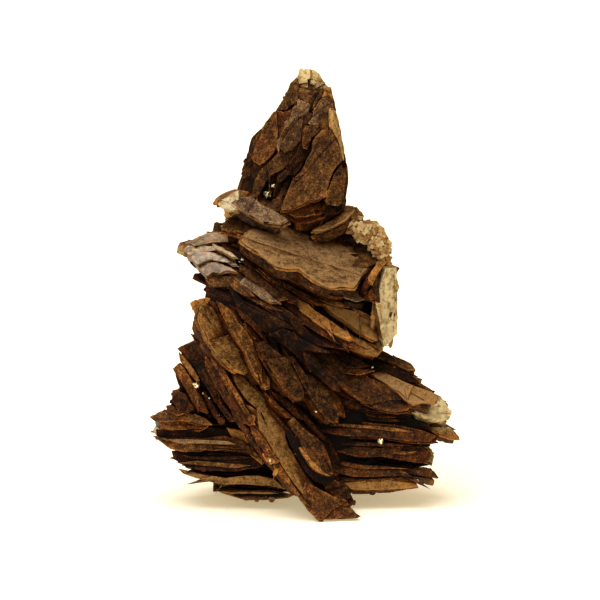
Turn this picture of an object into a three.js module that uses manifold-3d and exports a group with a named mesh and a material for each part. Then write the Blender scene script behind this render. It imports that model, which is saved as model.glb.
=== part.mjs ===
// Siderite with pyrite: a small tower of thin, lens-shaped siderite plates that grew together in
// fans, with a few pyrite crystals on it. Millimetres, +Z up, the front towards -Y. The origin is
// the middle of the underside. The siderite grew as one piece, so all its plates are joined in one
// solid, and each pyrite crystal is a solid of its own in a small hollow of the siderite.

import * as THREE from 'three';
import { mergeVertices } from 'three/addons/utils/BufferGeometryUtils.js';
import Module from 'manifold-3d';

const wasm = await Module();
wasm.setup();

// Plate outlines: corners, how pointed (1 draws an ellipse, 2 a rhombus), how far the corners are
// turned (0 ends a plate in a corner, 0.5 in a short edge), and the rim's height as a share of the
// plate's.
const OUTLINES = {
  sharp: { corners: 6, pointedness: 1.33, turn: 0, rim: 0 },
  leaf: { corners: 6, pointedness: 1.12, turn: 0, rim: 0.36 },
  blunt: { corners: 8, pointedness: 1, turn: 0.5, rim: 0.36 },
  slab: { corners: 6, pointedness: 1, turn: 0.5, rim: 0.36 },
};
const FACE_REACH = 0.8; // how far the flat face runs towards the rim
const RAGGEDNESS = 0.1; // how much a corner strays from the smooth outline
const BOW = 0.35; // how far the middle of a plate stands off its tips
const SEAT_GAP = 0.3; // clear space between a pyrite crystal and its hollow
const DODECAHEDRON_FACE_DISTANCE = 0.795; // from the middle to a face, where its corners lie at 1
const FLOOR_SIZE = 200; // the block that cuts the underside flat
const SAME_CORNER = 1e-4; // corners closer than this are one
const SEEDS_PER_FAN = 100; // seeds kept free for the plates of one fan
const CENTRE = new THREE.Vector3(-0.1, 0.5, 0); // the underside's middle in the coordinates below

// The fans. Each row is one plate: the x and z of its first tip, the x and z of its second tip, and
// its width. Depth is the y of the first and the last plate's middle, and face is how far the first
// and the last plate lean to show their upper face, in degrees. Plates between them share the range.
const FANS = {
  spire: {
    depth: [6.8, -1.0], face: [60, 58], thick: 2.8, outline: 'blunt',
    plates: [
      [1.1, 65.1, -4.0, 57.0, 4.4],
      [-2.9, 58.4, -10.0, 45.0, 5.6],
      [1.6, 65.3, -8.8, 44.6, 7.4],
      [3.1, 64.3, -7.3, 43.6, 7.8],
      [2.2, 61.4, -6.1, 42.8, 7.5],
      [4.5, 63.4, -5.0, 43.0, 8.8],
      [5.4, 60.8, -3.8, 42.2, 8.5],
      [9.2, 60.1, -1.3, 40.9, 11.0],
      [8.2, 54.5, 2.5, 42.3, 6.0],
    ],
  },
  ledges: {
    depth: [-1.0, 0.5], face: [15, 12], thick: 1.3, outline: 'leaf',
    plates: [
      [-11.8, 47.3, -1.6, 43.3, 6.5],
      [-13.9, 45.5, -8.2, 47.3, 5.0],
      [-12.9, 42.9, -2.2, 41.7, 7.5],
    ],
  },
  brokenBlock: {
    depth: [2.0, 3.0], face: [20, 20], thick: 2.0, outline: 'blunt',
    plates: [
      [2.5, 41.4, 9.2, 43.4, 6.5],
      [3.8, 42.2, 7.8, 44.5, 5.0],
    ],
  },
  shoulderTop: {
    depth: [4.6, 0.4], face: [14, 21], thick: 2.0, outline: 'blunt',
    plates: [
      [-12.4, 43.4, 12.9, 39.3, 11.5],
      [-10.7, 41.1, 12.9, 37.0, 16.5],
    ],
  },
  shoulder: {
    depth: [2.6, 1.0], face: [15, 13], thick: 2.0, outline: 'slab',
    plates: [
      [-15.0, 41.0, 12.4, 33.4, 14.5],
      [-18.9, 39.6, 11.8, 31.6, 14.5],
      [-17.7, 38.2, 12.2, 29.2, 13.5],
      [-16.5, 36.6, 12.2, 26.6, 15.0],
      [-15.8, 35.0, 12.2, 24.5, 14.5],
      [-15.3, 33.7, 11.2, 23.0, 14.5],
      [-15.0, 32.2, 8.8, 24.0, 14.0],
    ],
  },
  palePlate: {
    depth: [-2.5, -2.5], face: [24, 24], thick: 2.2, outline: 'blunt',
    plates: [
      [11.8, 38.0, 11.8, 24.0, 7.5],
    ],
  },
  leftLeaves: {
    depth: [-2, -4], face: [46, 40], thick: 1.8, outline: 'blunt',
    plates: [
      [-14.8, 26.6, -8.5, 11.7, 8.5],
      [-17.8, 25.2, -10.0, 12.1, 7.4],
      [-19.2, 21.6, -13.7, 12.2, 6.0],
      [-19.6, 18.5, -15.4, 12.6, 5.0],
      [-20.2, 16.3, -16.6, 13.3, 4.5],
    ],
  },
  frontLeaves: {
    depth: [-4.2, -8], face: [38, 32], thick: 1.8, outline: 'leaf',
    plates: [
      [-16.8, 27.9, -9.8, 19.4, 6.0],
      [-17.2, 32.7, -6.8, 18.2, 8.5],
      [-14.5, 33.7, -3.4, 17.1, 8.5],
      [-11.8, 33.5, 0.4, 15.0, 8.5],
      [-8.8, 32.5, 3.1, 15.4, 8.5],
      [-5.8, 29.8, 6.0, 12.8, 8.5],
      [-2.9, 29.6, 6.1, 18.3, 8.0],
      [-6.5, 19.9, 3.1, 8.0, 7.0],
      [-14.8, 25.2, 2.5, -0.7, 10.5],
      [-3.4, 16.4, 5.5, 4.8, 8.5],
    ],
  },
  rightFan: {
    depth: [1.5, 1.5], face: [12, 4], thick: 1.8, outline: 'sharp',
    plates: [
      [-1.3, 24.5, 16.2, 20.2, 13.5],
      [0.0, 22.8, 17.7, 18.4, 14.0],
      [1.9, 20.8, 20.8, 16.1, 15.5],
      [2.2, 16.2, 24.3, 10.2, 16.0],
      [1.6, 14.1, 22.6, 9.7, 15.5],
      [1.6, 12.3, 20.6, 8.9, 15.0],
      [1.3, 10.5, 20.8, 7.3, 15.0],
      [1.3, 8.6, 19.9, 6.2, 14.5],
      [1.6, 7.1, 20.7, 3.9, 15.0],
      [1.9, 5.6, 16.6, 4.7, 14.0],
      [2.2, 4.4, 18.0, 2.5, 14.0],
      [2.9, 3.5, 13.0, 2.4, 13.0],
    ],
  },
  glassyPlate: {
    depth: [0.6, 0.6], face: [12, 12], thick: 2.2, outline: 'blunt',
    plates: [
      [4.3, 17.9, 22.1, 14.4, 10.5],
    ],
  },
  leftFan: {
    depth: [1.0, 1.0], face: [2, 4], thick: 1.7, outline: 'sharp',
    plates: [
      [-23.8, 13.6, -6.5, 13.4, 13.0],
      [-23.7, 12.2, -5.5, 11.9, 13.5],
      [-24.0, 11.0, -5.0, 10.4, 14.0],
      [-23.6, 9.9, -4.3, 9.0, 14.0],
      [-22.1, 8.6, -3.4, 7.8, 14.0],
      [-21.1, 7.0, -2.5, 6.4, 14.0],
      [-20.6, 5.7, -1.9, 5.2, 14.0],
      [-19.1, 4.3, -1.3, 4.2, 14.0],
      [-16.6, 3.1, -1.1, 3.1, 13.5],
      [-13.9, 1.7, -0.8, 2.0, 12.5],
    ],
  },
  frontFoot: {
    depth: [-7, -6.5], face: [34, 30], thick: 2.2, outline: 'blunt',
    plates: [
      [-4.0, 10.1, 9.0, -0.5, 11.5],
      [-2.9, 7.3, 7.0, -2.0, 11.0],
    ],
  },
  backLeaves: {
    depth: [9.0, 8.6], face: [-54, -48], thick: 2.6, outline: 'slab',
    plates: [
      [-16.5, 6.0, -9.0, 20.5, 8.5],
      [-12.0, -1.2, -5.0, 23.5, 10.5],
      [-5.5, 2.5, 3.5, 26.5, 10.5],
      [-0.5, 3.0, 7.5, 21.5, 9.0],
      [6.0, -1.2, 12.5, 22.0, 10.0],
      [11.0, 3.0, 17.5, 14.5, 8.0],
    ],
  },
  backShoulder: {
    depth: [8.4, 7.4], face: [-54, -50], thick: 2.6, outline: 'slab',
    plates: [
      [-13.5, 32.0, -1.5, 44.5, 9.5],
      [-11.0, 28.0, 4.5, 43.5, 10.5],
      [-6.0, 25.5, 9.0, 41.0, 10.5],
      [-0.5, 23.5, 12.5, 37.0, 10.0],
    ],
  },
};

// Solid lumps inside the fans, where the plates have grown into one mass: middle and radii.
const HEART_DETAIL = 1; // how often the faces of a lump are split in four
const HEARTS = [
  { middle: [0, 1.0, 12], radii: [14, 6.5, 10] },
  { middle: [0, 1.5, 27], radii: [8, 5.5, 7] },
  { middle: [-1.5, 3.0, 40], radii: [6, 3.5, 5] },
];

// The crumbly crust on the upper right end of the shoulder: middle and radii of its crystals.
const CRUST_DETAIL = 0;
const CRUST = [
  { middle: [7.2, 1.4, 42.0], radii: [1.6, 1.8, 1.1] },
  { middle: [9.2, 0.2, 41.5], radii: [1.5, 1.7, 1.2] },
  { middle: [11.1, -0.6, 39.7], radii: [1.2, 1.6, 1.1] },
  { middle: [11.9, 0.8, 38.2], radii: [0.9, 1.8, 1.4] },
];

// The pyrite crystals: name, middle, radius, and how far each is turned, in degrees.
const PYRITES = [
  { name: 'pyrite_spire', middle: [-5.6, -0.1, 47.4], radius: 0.65, turn: 15 },
  { name: 'pyrite_spire_small', middle: [-4.7, -0.9, 48.8], radius: 0.35, turn: 40 },
  { name: 'pyrite_shoulder', middle: [-9.3, -2.4, 37.8], radius: 0.6, turn: 25 },
  { name: 'pyrite_left_leaves', middle: [-16.2, -5.5, 19.4], radius: 0.6, turn: 5 },
  { name: 'pyrite_right_fan', middle: [11.3, -5.8, 11.0], radius: 0.5, turn: 35 },
  { name: 'pyrite_shoulder_edge', middle: [11.7, -4.9, 25.7], radius: 0.35, turn: 70 },
];

// Steep crystal faces that cut the spire's right side: a line through two x, z points at the spire's
// middle depth, and how far the face turns towards the front, in degrees.
const SPIRE_DEPTH = 3;
const SPIRE_FACES = [
  { from: [2.0, 66.0], to: [4.6, 60.0], turn: -8 },
  { from: [4.2, 61.0], to: [5.8, 52.0], turn: -5 },
  { from: [5.6, 55.0], to: [6.2, 48.0], turn: -12 },
  { from: [6.1, 50.0], to: [5.6, 43.0], turn: -4 },
];

// Numbers between 0 and 1 that are the same on every run.
function seededNumbers(seed) {
  let state = seed * 7919 + 17;
  return () => {
    state = (state * 1103515245 + 12345) % 2147483648;
    return state / 2147483648;
  };
}

// A closed three.js geometry as a solid that can be joined and cut.
function solidOf(geometry) {
  const bare = geometry.clone();
  bare.deleteAttribute('normal');
  bare.deleteAttribute('uv');
  const merged = mergeVertices(bare, SAME_CORNER);
  const mesh = new wasm.Mesh({
    numProp: 3,
    vertProperties: new Float32Array(merged.attributes.position.array),
    triVerts: new Uint32Array(merged.index.array),
  });
  return new wasm.Manifold(mesh);
}

// A solid back as a three.js geometry.
function geometryOf(solid) {
  const mesh = solid.getMesh();
  const geometry = new THREE.BufferGeometry();
  geometry.setAttribute('position', new THREE.BufferAttribute(mesh.vertProperties, 3));
  geometry.setIndex(new THREE.BufferAttribute(mesh.triVerts, 1));
  geometry.computeVertexNormals();
  return geometry;
}

// One plate lying flat: a lens turned on a lathe, drawn out to its outline and bowed.
function flatPlate(length, width, thick, { corners, pointedness, turn, rim }, seed) {
  const edge = rim > 0 ? [[1, -rim / 2], [1, rim / 2]] : [[1, 0]];
  const profile = [[0, -0.5], [FACE_REACH, -0.5], ...edge, [FACE_REACH, 0.5], [0, 0.5]];
  const points = profile.map(([radius, height]) => new THREE.Vector2(radius, height));
  const step = (2 * Math.PI) / corners;
  const geometry = new THREE.LatheGeometry(points, corners);
  geometry.rotateX(Math.PI / 2).rotateZ(Math.PI / 2 + turn * step);
  const random = seededNumbers(seed);
  const stray = Array.from({ length: corners }, () => 1 - RAGGEDNESS * random());
  const position = geometry.attributes.position;
  for (let i = 0; i < position.count; i += 1) {
    const radius = Math.hypot(position.getX(i), position.getY(i));
    const angle = Math.atan2(position.getY(i), position.getX(i));
    const corner = (Math.round(angle / step - turn) + corners) % corners;
    const reach = (radius * stray[corner]) / Math.cos(turn * step);
    const along = reach * Math.sign(Math.cos(angle)) * Math.abs(Math.cos(angle)) ** pointedness;
    const across = reach * Math.sign(Math.sin(angle)) * Math.abs(Math.sin(angle)) ** pointedness;
    const lift = BOW * (1 - along * along);
    position.setXYZ(i, (along * length) / 2, (across * width) / 2, position.getZ(i) * thick + lift);
  }
  return geometry;
}

// A plate in its place: its length runs from tip to tip, and its face leans towards the front.
function plate(row, depth, face, thick, outline, seed) {
  const [x1, z1, x2, z2, width] = row;
  const along = new THREE.Vector3(x2 - x1, 0, z2 - z1);
  const length = along.length();
  along.normalize();
  const straightBack = new THREE.Vector3(0, 1, 0);
  const upright = new THREE.Vector3().crossVectors(along, straightBack);
  const lean = THREE.MathUtils.degToRad(face);
  const across = straightBack.multiplyScalar(Math.cos(lean)).addScaledVector(upright, Math.sin(lean));
  const normal = new THREE.Vector3().crossVectors(along, across);
  const matrix = new THREE.Matrix4().makeBasis(along, across, normal);
  matrix.setPosition((x1 + x2) / 2, depth, (z1 + z2) / 2);
  return solidOf(flatPlate(length, width, thick, OUTLINES[outline], seed).applyMatrix4(matrix));
}

// All the plates of one fan, joined.
function fan({ plates, depth, face, thick, outline }, firstSeed) {
  const share = (range, i) => THREE.MathUtils.lerp(range[0], range[1], i / Math.max(plates.length - 1, 1));
  const solids = plates.map((row, i) => {
    return plate(row, share(depth, i), share(face, i), thick, outline, firstSeed + i);
  });
  return wasm.Manifold.union(solids);
}

// One lump: a rough ball stretched to its radii.
function lump({ middle, radii }, detail) {
  return solidOf(new THREE.IcosahedronGeometry(1, detail).scale(...radii).translate(...middle));
}

// The spire with its steep faces cut.
function spire() {
  return SPIRE_FACES.reduce((solid, { from, to, turn }) => {
    const inward = new THREE.Vector3(to[1] - from[1], 0, from[0] - to[0]).normalize();
    inward.multiplyScalar(Math.cos(THREE.MathUtils.degToRad(turn)));
    inward.y = Math.sin(THREE.MathUtils.degToRad(turn));
    const offset = inward.dot(new THREE.Vector3(from[0], SPIRE_DEPTH, from[1]));
    return solid.trimByPlane(inward.toArray(), offset);
  }, fan(FANS.spire, 1));
}

// The siderite: every fan and heart joined, cut flat where it stands, and hollowed for the pyrite.
function siderite() {
  const others = Object.entries(FANS).filter(([name]) => name !== 'spire');
  const fans = others.map(([, description], i) => fan(description, SEEDS_PER_FAN * (i + 1)));
  const hearts = HEARTS.map((heart) => lump(heart, HEART_DETAIL));
  const crust = CRUST.map((crystal) => lump(crystal, CRUST_DETAIL));
  const floor = new THREE.BoxGeometry(FLOOR_SIZE, FLOOR_SIZE, FLOOR_SIZE).translate(0, 0, -FLOOR_SIZE / 2);
  const hollows = PYRITES.map((pyrite) => solidOf(pyriteShape(pyrite, SEAT_GAP)));
  const whole = wasm.Manifold.union([spire(), ...fans, ...hearts, ...crust]);
  const bodies = whole.subtract(wasm.Manifold.union([solidOf(floor), ...hollows])).decompose();
  return bodies.sort((a, b) => b.volume() - a.volume())[0];
}

// A pyrite crystal with twelve flat faces, in its place; grown makes it larger on every side.
function pyriteShape({ middle, radius, turn }, grown) {
  const size = radius + grown / DODECAHEDRON_FACE_DISTANCE;
  const shape = new THREE.DodecahedronGeometry(size);
  shape.rotateZ(THREE.MathUtils.degToRad(turn)).rotateX(THREE.MathUtils.degToRad(turn));
  return shape.translate(...middle);
}

// A named mesh, moved so that the middle of the underside lies on the origin.
function pieceOf(name, geometry, material) {
  const piece = new THREE.Mesh(geometry, material);
  piece.name = name;
  piece.position.copy(CENTRE).negate();
  return piece;
}

const sideriteMaterial = new THREE.MeshStandardMaterial({ color: '#6b4a2c', roughness: 0.6, metalness: 0 });
const pyriteMaterial = new THREE.MeshStandardMaterial({ color: '#c9b37e', roughness: 0.3, metalness: 1 });

const specimen = new THREE.Group();
specimen.add(pieceOf('siderite', geometryOf(siderite()), sideriteMaterial));
PYRITES.forEach((pyrite) => specimen.add(pieceOf(pyrite.name, pyriteShape(pyrite, 0), pyriteMaterial)));

export default specimen;
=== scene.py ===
"""Siderite with pyrite: a tower of layered siderite plates with small pyrite crystals.

Lengths in the tables are millimetres, in the coordinates the plates were laid out in. The layout's
middle is moved to the origin, and millimetres become metres, when a mesh is made.
"""

import math

import bmesh
import bpy
import numpy as np
from bpy.props import FloatProperty, FloatVectorProperty, IntProperty, PointerProperty
from bpy.types import Operator, Panel, PropertyGroup
from mathutils import Euler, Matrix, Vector
from mathutils.bvhtree import BVHTree


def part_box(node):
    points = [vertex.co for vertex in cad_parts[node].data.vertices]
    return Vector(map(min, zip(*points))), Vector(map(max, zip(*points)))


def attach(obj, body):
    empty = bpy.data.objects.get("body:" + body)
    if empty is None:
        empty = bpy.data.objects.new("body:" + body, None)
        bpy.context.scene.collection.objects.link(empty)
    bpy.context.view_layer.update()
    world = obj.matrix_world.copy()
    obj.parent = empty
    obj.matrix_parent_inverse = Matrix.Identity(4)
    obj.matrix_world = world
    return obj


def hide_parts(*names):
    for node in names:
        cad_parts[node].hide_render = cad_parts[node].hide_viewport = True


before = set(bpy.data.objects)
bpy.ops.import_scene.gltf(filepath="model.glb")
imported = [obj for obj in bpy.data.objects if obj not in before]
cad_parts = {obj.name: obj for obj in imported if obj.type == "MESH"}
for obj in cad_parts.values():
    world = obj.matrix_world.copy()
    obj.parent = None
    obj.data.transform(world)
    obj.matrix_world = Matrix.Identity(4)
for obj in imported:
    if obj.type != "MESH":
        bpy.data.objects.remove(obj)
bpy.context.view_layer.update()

bl_info = {
    "name": "Siderite with pyrite",
    "version": (1, 0, 0),
    "blender": (4, 5, 0),
    "location": "View3D > Sidebar > Siderite",
    "description": "Builds a tower of layered siderite plates with small pyrite crystals",
    "category": "Add Mesh",
}

MM = 0.001
LAYOUT_MIDDLE = np.array([-0.1, 0.5, 0.0])

# The camera looks down by this angle. A height in its view is VIEW_UP of the true height above the
# floor, plus VIEW_IN of how far a point lies behind VIEW_LEVEL. Rays along its view start at the
# depth RAY_START, in front of every plate.
VIEW_ANGLE = math.radians(10)
VIEW_UP = math.cos(VIEW_ANGLE)
VIEW_IN = math.sin(VIEW_ANGLE)
VIEW_LEVEL = -10.0
VIEW_WIDTH = 90.0
RAY_START = -60.0
CAMERA_DISTANCE = 650.0
CAMERA_TARGET = (-0.65, -0.5, 31.4)

# How a plate's outline runs: its corners, how pointed it is (1 draws an ellipse, 2 a rhombus), and
# how far the corners are turned (0 ends a plate in a corner, 0.5 in a short edge).
HABITS = {
    "sharp": (6, 1.33, 0.0),
    "leaf": (6, 1.12, 0.0),
    "blunt": (8, 1.0, 0.5),
    "slab": (6, 1.0, 0.5),
}

# How a lamina thins towards its rim: shares of its reach, and of its thickness there.
RIMS = {
    "bevelled": ((0.74, 0.97), (0.86, 0.8), (0.95, 0.5), (1.0, 0.14)),
    "blunt": ((0.9, 0.97), (0.95, 0.86), (0.98, 0.62), (1.0, 0.24)),
    "slab": ((0.93, 1.0), (0.97, 0.97), (0.99, 0.85), (1.0, 0.5)),
}

# How a lamina's sides are drawn: how it thins at its rim, rings of points on its face, depth of its
# terraces, bow and relief in millimetres, and how deep its chips are beside the size "chip". FAN_LOOK
# is for the fans, whose rim and terraces stand in their own table. The others are for a front plate:
# its face if it is broad, its face if it is narrow, the layer under it, and its hidden root.
FAN_LOOK = {"rings": 2, "bow": 0.35, "relief": 0.08}
FACE_LOOK = {"rim": "slab", "rings": 4, "terrace": 0.0, "bow": 0.0, "relief": 0.055, "chips": 0.9}
THIN_LOOK = {"rim": "slab", "rings": 2, "terrace": 0.0, "bow": 0.0, "relief": 0.05, "chips": 0.8}
EDGE_LOOK = {"rim": "slab", "rings": 1, "terrace": 0.0, "bow": 0.0, "relief": 0.05, "chips": 1.4}
ROOT_LOOK = {"rim": "blunt", "rings": 1, "terrace": 0.0, "bow": 0.0, "relief": 0.1, "chips": 2.0}

# Outlines are walked in steps of about this length in millimetres, and in that many points at least
# and at most.
FAN_STEP = 0.5
FRONT_STEP = 0.42
OUTLINE_POINTS = (36, 150)

# Where the two terraces of a lamina run: the share of its reach, how far that wanders and over how
# many millimetres, and how far and over how many it wanders finely.
TERRACES = ((0.62, 0.16, 5.0, 0.03, 0.8), (0.9, 0.05, 4.0, 0.02, 0.6))

# The relief of a face: the size of its features in millimetres and their share. A face with more
# than FINE_RINGS rings has the last of them too.
RELIEFS = ((2.4, 1.0), (0.9, 0.6), (0.45, 0.45))
FINE_RINGS = 3

# The bites, the chips and the ragged edge of an outline, in millimetres.
BITE = 2.3
CHIP = 1.1
RAGGED = 0.45

# How the laminae of a fan's plate differ: how much shorter in millimetres and narrower as a share
# they are than the whole one, and how far they tilt in degrees. Tone and rust stay in this range.
SHORTER = (0.3, 1.8)
NARROWER = (0.86, 1.0)
TILTS = (3.5, 1.5, 4.0)
TONES = (-0.6, 1.1)

# A front plate has a flaked face if it is broader and thicker than this, in millimetres.
BROAD = 1.7
THICK = 0.7

# A lens-shaped outline: how far its corners reach, how far its sides bulge and where breaks cut it
# off, all as shares.
CORNER_REACH = (0.88, 1.0)
BULGE = 0.14
BREAKS = (0.84, 0.98)

# A front plate's layers: how thick the front one is as a share of the plate, and in millimetres how
# far the next ones lie aside and how far a flaked layer stands out on the face.
FRONT_LAYER = (0.35, 0.55)
SWAY = 0.16
SCAB = (0.14, 0.26)

# Random draws start from these numbers. A plate's number is one of the first two, times the place of
# its group in the table, plus its own place in the group.
FAN_SEED = 1000
FRONT_SEED = 500
SHADE_AND_STAIN_SEED = 17
CRUST_SEED = 8
PYRITE_SEED = 21

# The fans of plates. Each row is one plate: x and z of its first tip, x and z of its second tip, and
# its width. Depth is the y of the first and last plate's middle, and face is how far the first and
# last plate lean to show their upper face, in degrees; plates between them share the range. Thick is
# a plate's thickness, habit and rim are how its outline and its edge run, terrace is how deep the
# steps on it are, and layers is how many laminae it has. Into is how far its two tips are pushed
# into the mass. Tone is how light a plate is, and red how rusty.
FANS = {
    "spire": {
        "depth": (6.8, -1.0), "face": (60, 58), "thick": 2.6, "habit": "blunt", "layers": 2,
        "tone": 0.45, "red": 0.35,
        "plates": [
            (1.1, 65.1, -4.0, 57.0, 4.4), (-2.9, 58.4, -10.0, 45.0, 5.6), (1.6, 65.3, -8.8, 44.6, 7.4),
            (3.1, 64.3, -7.3, 43.6, 7.8), (2.2, 61.4, -6.1, 42.8, 7.5), (4.5, 63.4, -5.0, 43.0, 8.8),
            (5.4, 60.8, -3.8, 42.2, 8.5), (9.2, 60.1, -1.3, 40.9, 11.0), (8.2, 54.5, 2.5, 42.3, 6.0),
        ],
    },
    "ledges": {
        "depth": (-1.0, 0.5), "face": (15, 12), "thick": 1.3, "habit": "leaf", "layers": 2,
        "tone": 0.8, "red": 0.15,
        "plates": [
            (-11.8, 47.3, -1.6, 43.3, 6.5), (-13.9, 45.5, -8.2, 47.3, 5.0), (-12.9, 42.9, -2.2, 41.7, 7.5),
        ],
    },
    "broken_block": {
        "depth": (2.0, 3.0), "face": (20, 20), "thick": 2.0, "habit": "blunt", "layers": 3,
        "tone": 0.7, "red": 0.5,
        "plates": [
            (2.5, 41.4, 9.2, 43.4, 6.5), (3.8, 42.2, 7.8, 44.5, 5.0),
        ],
    },
    "shoulder_top": {
        "depth": (4.6, 0.4), "face": (14, 21), "thick": 2.0, "habit": "blunt", "layers": 3,
        "tone": 0.75, "red": 0.3,
        "plates": [
            (-12.4, 43.4, 12.9, 39.3, 11.5), (-10.7, 41.1, 12.9, 37.0, 16.5),
        ],
    },
    "shoulder": {
        "depth": (2.6, 1.0), "face": (15, 13), "thick": 1.8, "habit": "slab", "layers": 2,
        "tone": 0.25, "red": 0.35,
        "plates": [
            (-15.0, 41.0, 12.4, 33.4, 14.5), (-18.9, 39.6, 11.8, 31.6, 14.5),
            (-17.7, 38.2, 12.2, 29.2, 13.5), (-16.5, 36.6, 12.2, 26.6, 15.0),
            (-15.8, 35.0, 12.2, 24.5, 14.5), (-15.3, 33.7, 11.2, 23.0, 14.5),
            (-15.0, 32.2, 8.8, 24.0, 14.0),
        ],
    },
    "pale_plate": {
        "depth": (-2.5, -2.5), "face": (24, 24), "thick": 2.2, "habit": "blunt", "layers": 3,
        "tone": 0.9, "red": 0.1,
        "plates": [
            (11.8, 38.0, 11.8, 24.0, 7.5),
        ],
    },
    "left_leaves": {
        "depth": (-2, -4), "face": (46, 40), "thick": 1.8, "habit": "blunt", "layers": 2,
        "terrace": 0.08, "tone": 0.05, "red": 0.8,
        "plates": [
            (-14.8, 26.6, -9.4, 13.6, 8.0), (-17.8, 25.2, -11.2, 13.9, 7.0),
            (-19.2, 21.6, -14.3, 13.6, 5.6), (-19.6, 18.5, -15.9, 13.9, 4.6),
            (-20.2, 16.3, -17.0, 14.2, 4.2),
        ],
    },
    "front_leaves": {
        "depth": (-4.2, -8), "face": (38, 32), "thick": 1.8, "habit": "leaf", "layers": 2,
        "terrace": 0.08, "tone": 0.15, "red": 0.45,
        "plates": [
            (-16.8, 27.9, -9.8, 19.4, 6.0), (-17.2, 32.7, -6.8, 18.2, 8.5), (-14.5, 33.7, -3.4, 17.1, 8.5),
            (-11.8, 33.5, 0.4, 15.0, 8.5), (-8.8, 32.5, 3.1, 15.4, 8.5), (-5.8, 29.8, 6.0, 12.8, 8.5),
            (-2.9, 29.6, 6.1, 18.3, 8.0), (-6.5, 19.9, 3.1, 8.0, 7.0), (-14.8, 25.2, 2.5, -0.7, 10.5),
            (-3.4, 16.4, 5.5, 4.8, 8.5),
        ],
    },
    "right_fan": {
        "depth": (1.5, 1.5), "face": (12, 4), "thick": 1.7, "rim": "bevelled", "habit": "sharp",
        "layers": 2, "into": (-5.0, 0.0), "tone": 0.15, "red": 0.5,
        "plates": [
            (-1.3, 24.5, 16.2, 20.2, 13.5), (0.0, 22.8, 17.7, 18.4, 14.0), (1.9, 20.8, 20.8, 16.1, 15.5),
            (2.2, 16.2, 24.3, 10.2, 16.0), (1.6, 14.1, 22.6, 9.7, 15.5), (1.6, 12.3, 20.6, 8.9, 15.0),
            (1.3, 10.5, 20.8, 7.3, 15.0), (1.3, 8.6, 19.9, 6.2, 14.5), (1.6, 7.4, 19.6, 5.8, 15.0),
            (1.9, 6.1, 16.8, 5.4, 14.0), (2.2, 5.1, 16.3, 4.6, 14.0), (2.9, 4.7, 12.5, 4.1, 13.0),
        ],
    },
    "glassy_plate": {
        "depth": (0.6, 0.6), "face": (12, 12), "thick": 2.2, "habit": "blunt", "layers": 3,
        "tone": 1.1, "red": 0.1,
        "plates": [
            (4.3, 17.9, 22.1, 14.4, 10.5),
        ],
    },
    "left_fan": {
        "depth": (1.0, 1.0), "face": (2, 4), "thick": 1.6, "rim": "bevelled", "habit": "sharp",
        "layers": 2, "into": (0.0, 5.0), "tone": 0.3, "red": 0.45,
        "plates": [
            (-23.8, 13.6, -6.5, 13.4, 13.0), (-23.7, 12.2, -5.5, 11.9, 13.5),
            (-24.0, 11.0, -5.0, 10.4, 14.0), (-23.6, 9.9, -4.3, 9.0, 14.0), (-22.1, 8.6, -3.4, 7.8, 14.0),
            (-21.1, 7.0, -2.5, 6.4, 14.0), (-20.6, 5.7, -1.9, 5.2, 14.0), (-19.1, 4.3, -1.3, 4.2, 14.0),
            (-16.0, 3.5, -1.1, 3.5, 13.5), (-13.0, 2.7, -0.8, 2.7, 12.5),
        ],
    },
    "front_foot": {
        "depth": (-7, -6.5), "face": (34, 30), "thick": 2.2, "habit": "blunt", "layers": 3,
        "terrace": 0.08, "tone": 0.2, "red": 0.55,
        "plates": [
            (-4.0, 10.1, 6.6, 0.8, 6.5), (-2.9, 7.0, 5.2, 0.2, 6.0),
        ],
    },
    "back_leaves": {
        "depth": (9.0, 8.6), "face": (-54, -48), "thick": 2.6, "habit": "slab", "layers": 3,
        "tone": 0.45, "red": 0.4,
        "plates": [
            (-16.5, 6.0, -9.0, 20.5, 8.5), (-12.0, -1.2, -5.0, 23.5, 10.5), (-5.5, 2.5, 3.5, 26.5, 10.5),
            (-0.5, 3.0, 7.5, 21.5, 9.0), (6.0, -1.2, 12.5, 22.0, 10.0), (11.0, 3.0, 17.5, 14.5, 8.0),
        ],
    },
    "back_shoulder": {
        "depth": (8.4, 7.4), "face": (-54, -50), "thick": 2.6, "habit": "slab", "layers": 3,
        "tone": 0.5, "red": 0.35,
        "plates": [
            (-13.5, 32.0, -1.5, 44.5, 9.5), (-11.0, 28.0, 4.5, 43.5, 10.5), (-6.0, 25.5, 9.0, 41.0, 10.5),
            (-0.5, 23.5, 12.5, 37.0, 10.0),
        ],
    },
}

# Solid lumps inside the fans, where the plates have grown into one mass: middle and radii. They are coloured
# nearly black, as painted shade for the deep gaps between the plates.
HEARTS = [
    ((0, 1.0, 12), (14, 6.5, 10)),
    ((0, 1.5, 27), (8, 5.5, 7)),
    ((-1.5, 3.0, 40), (6, 3.5, 5)),
]

# Steep crystal faces that cut the spire's right side: a line through two x, z points at the spire's
# middle depth, and how far the face turns towards the front, in degrees.
SPIRE_DEPTH = 3.0
SPIRE_FACES = [
    ((2.0, 66.0), (4.6, 60.0), -8),
    ((4.2, 61.0), (5.8, 52.0), -5),
    ((5.6, 55.0), (6.2, 48.0), -12),
    ((6.1, 50.0), (5.6, 43.0), -4),
]

# Where the siderite is fresh and pale: middle, reach and how pale.
PALE_SPOTS = [
    ((1.4, 3.0, 65.9), 2.6, 0.9),
    ((-18.8, 0.0, 39.5), 2.2, 0.7),
    ((21.8, -1.0, 14.8), 3.2, 0.8),
]
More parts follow.
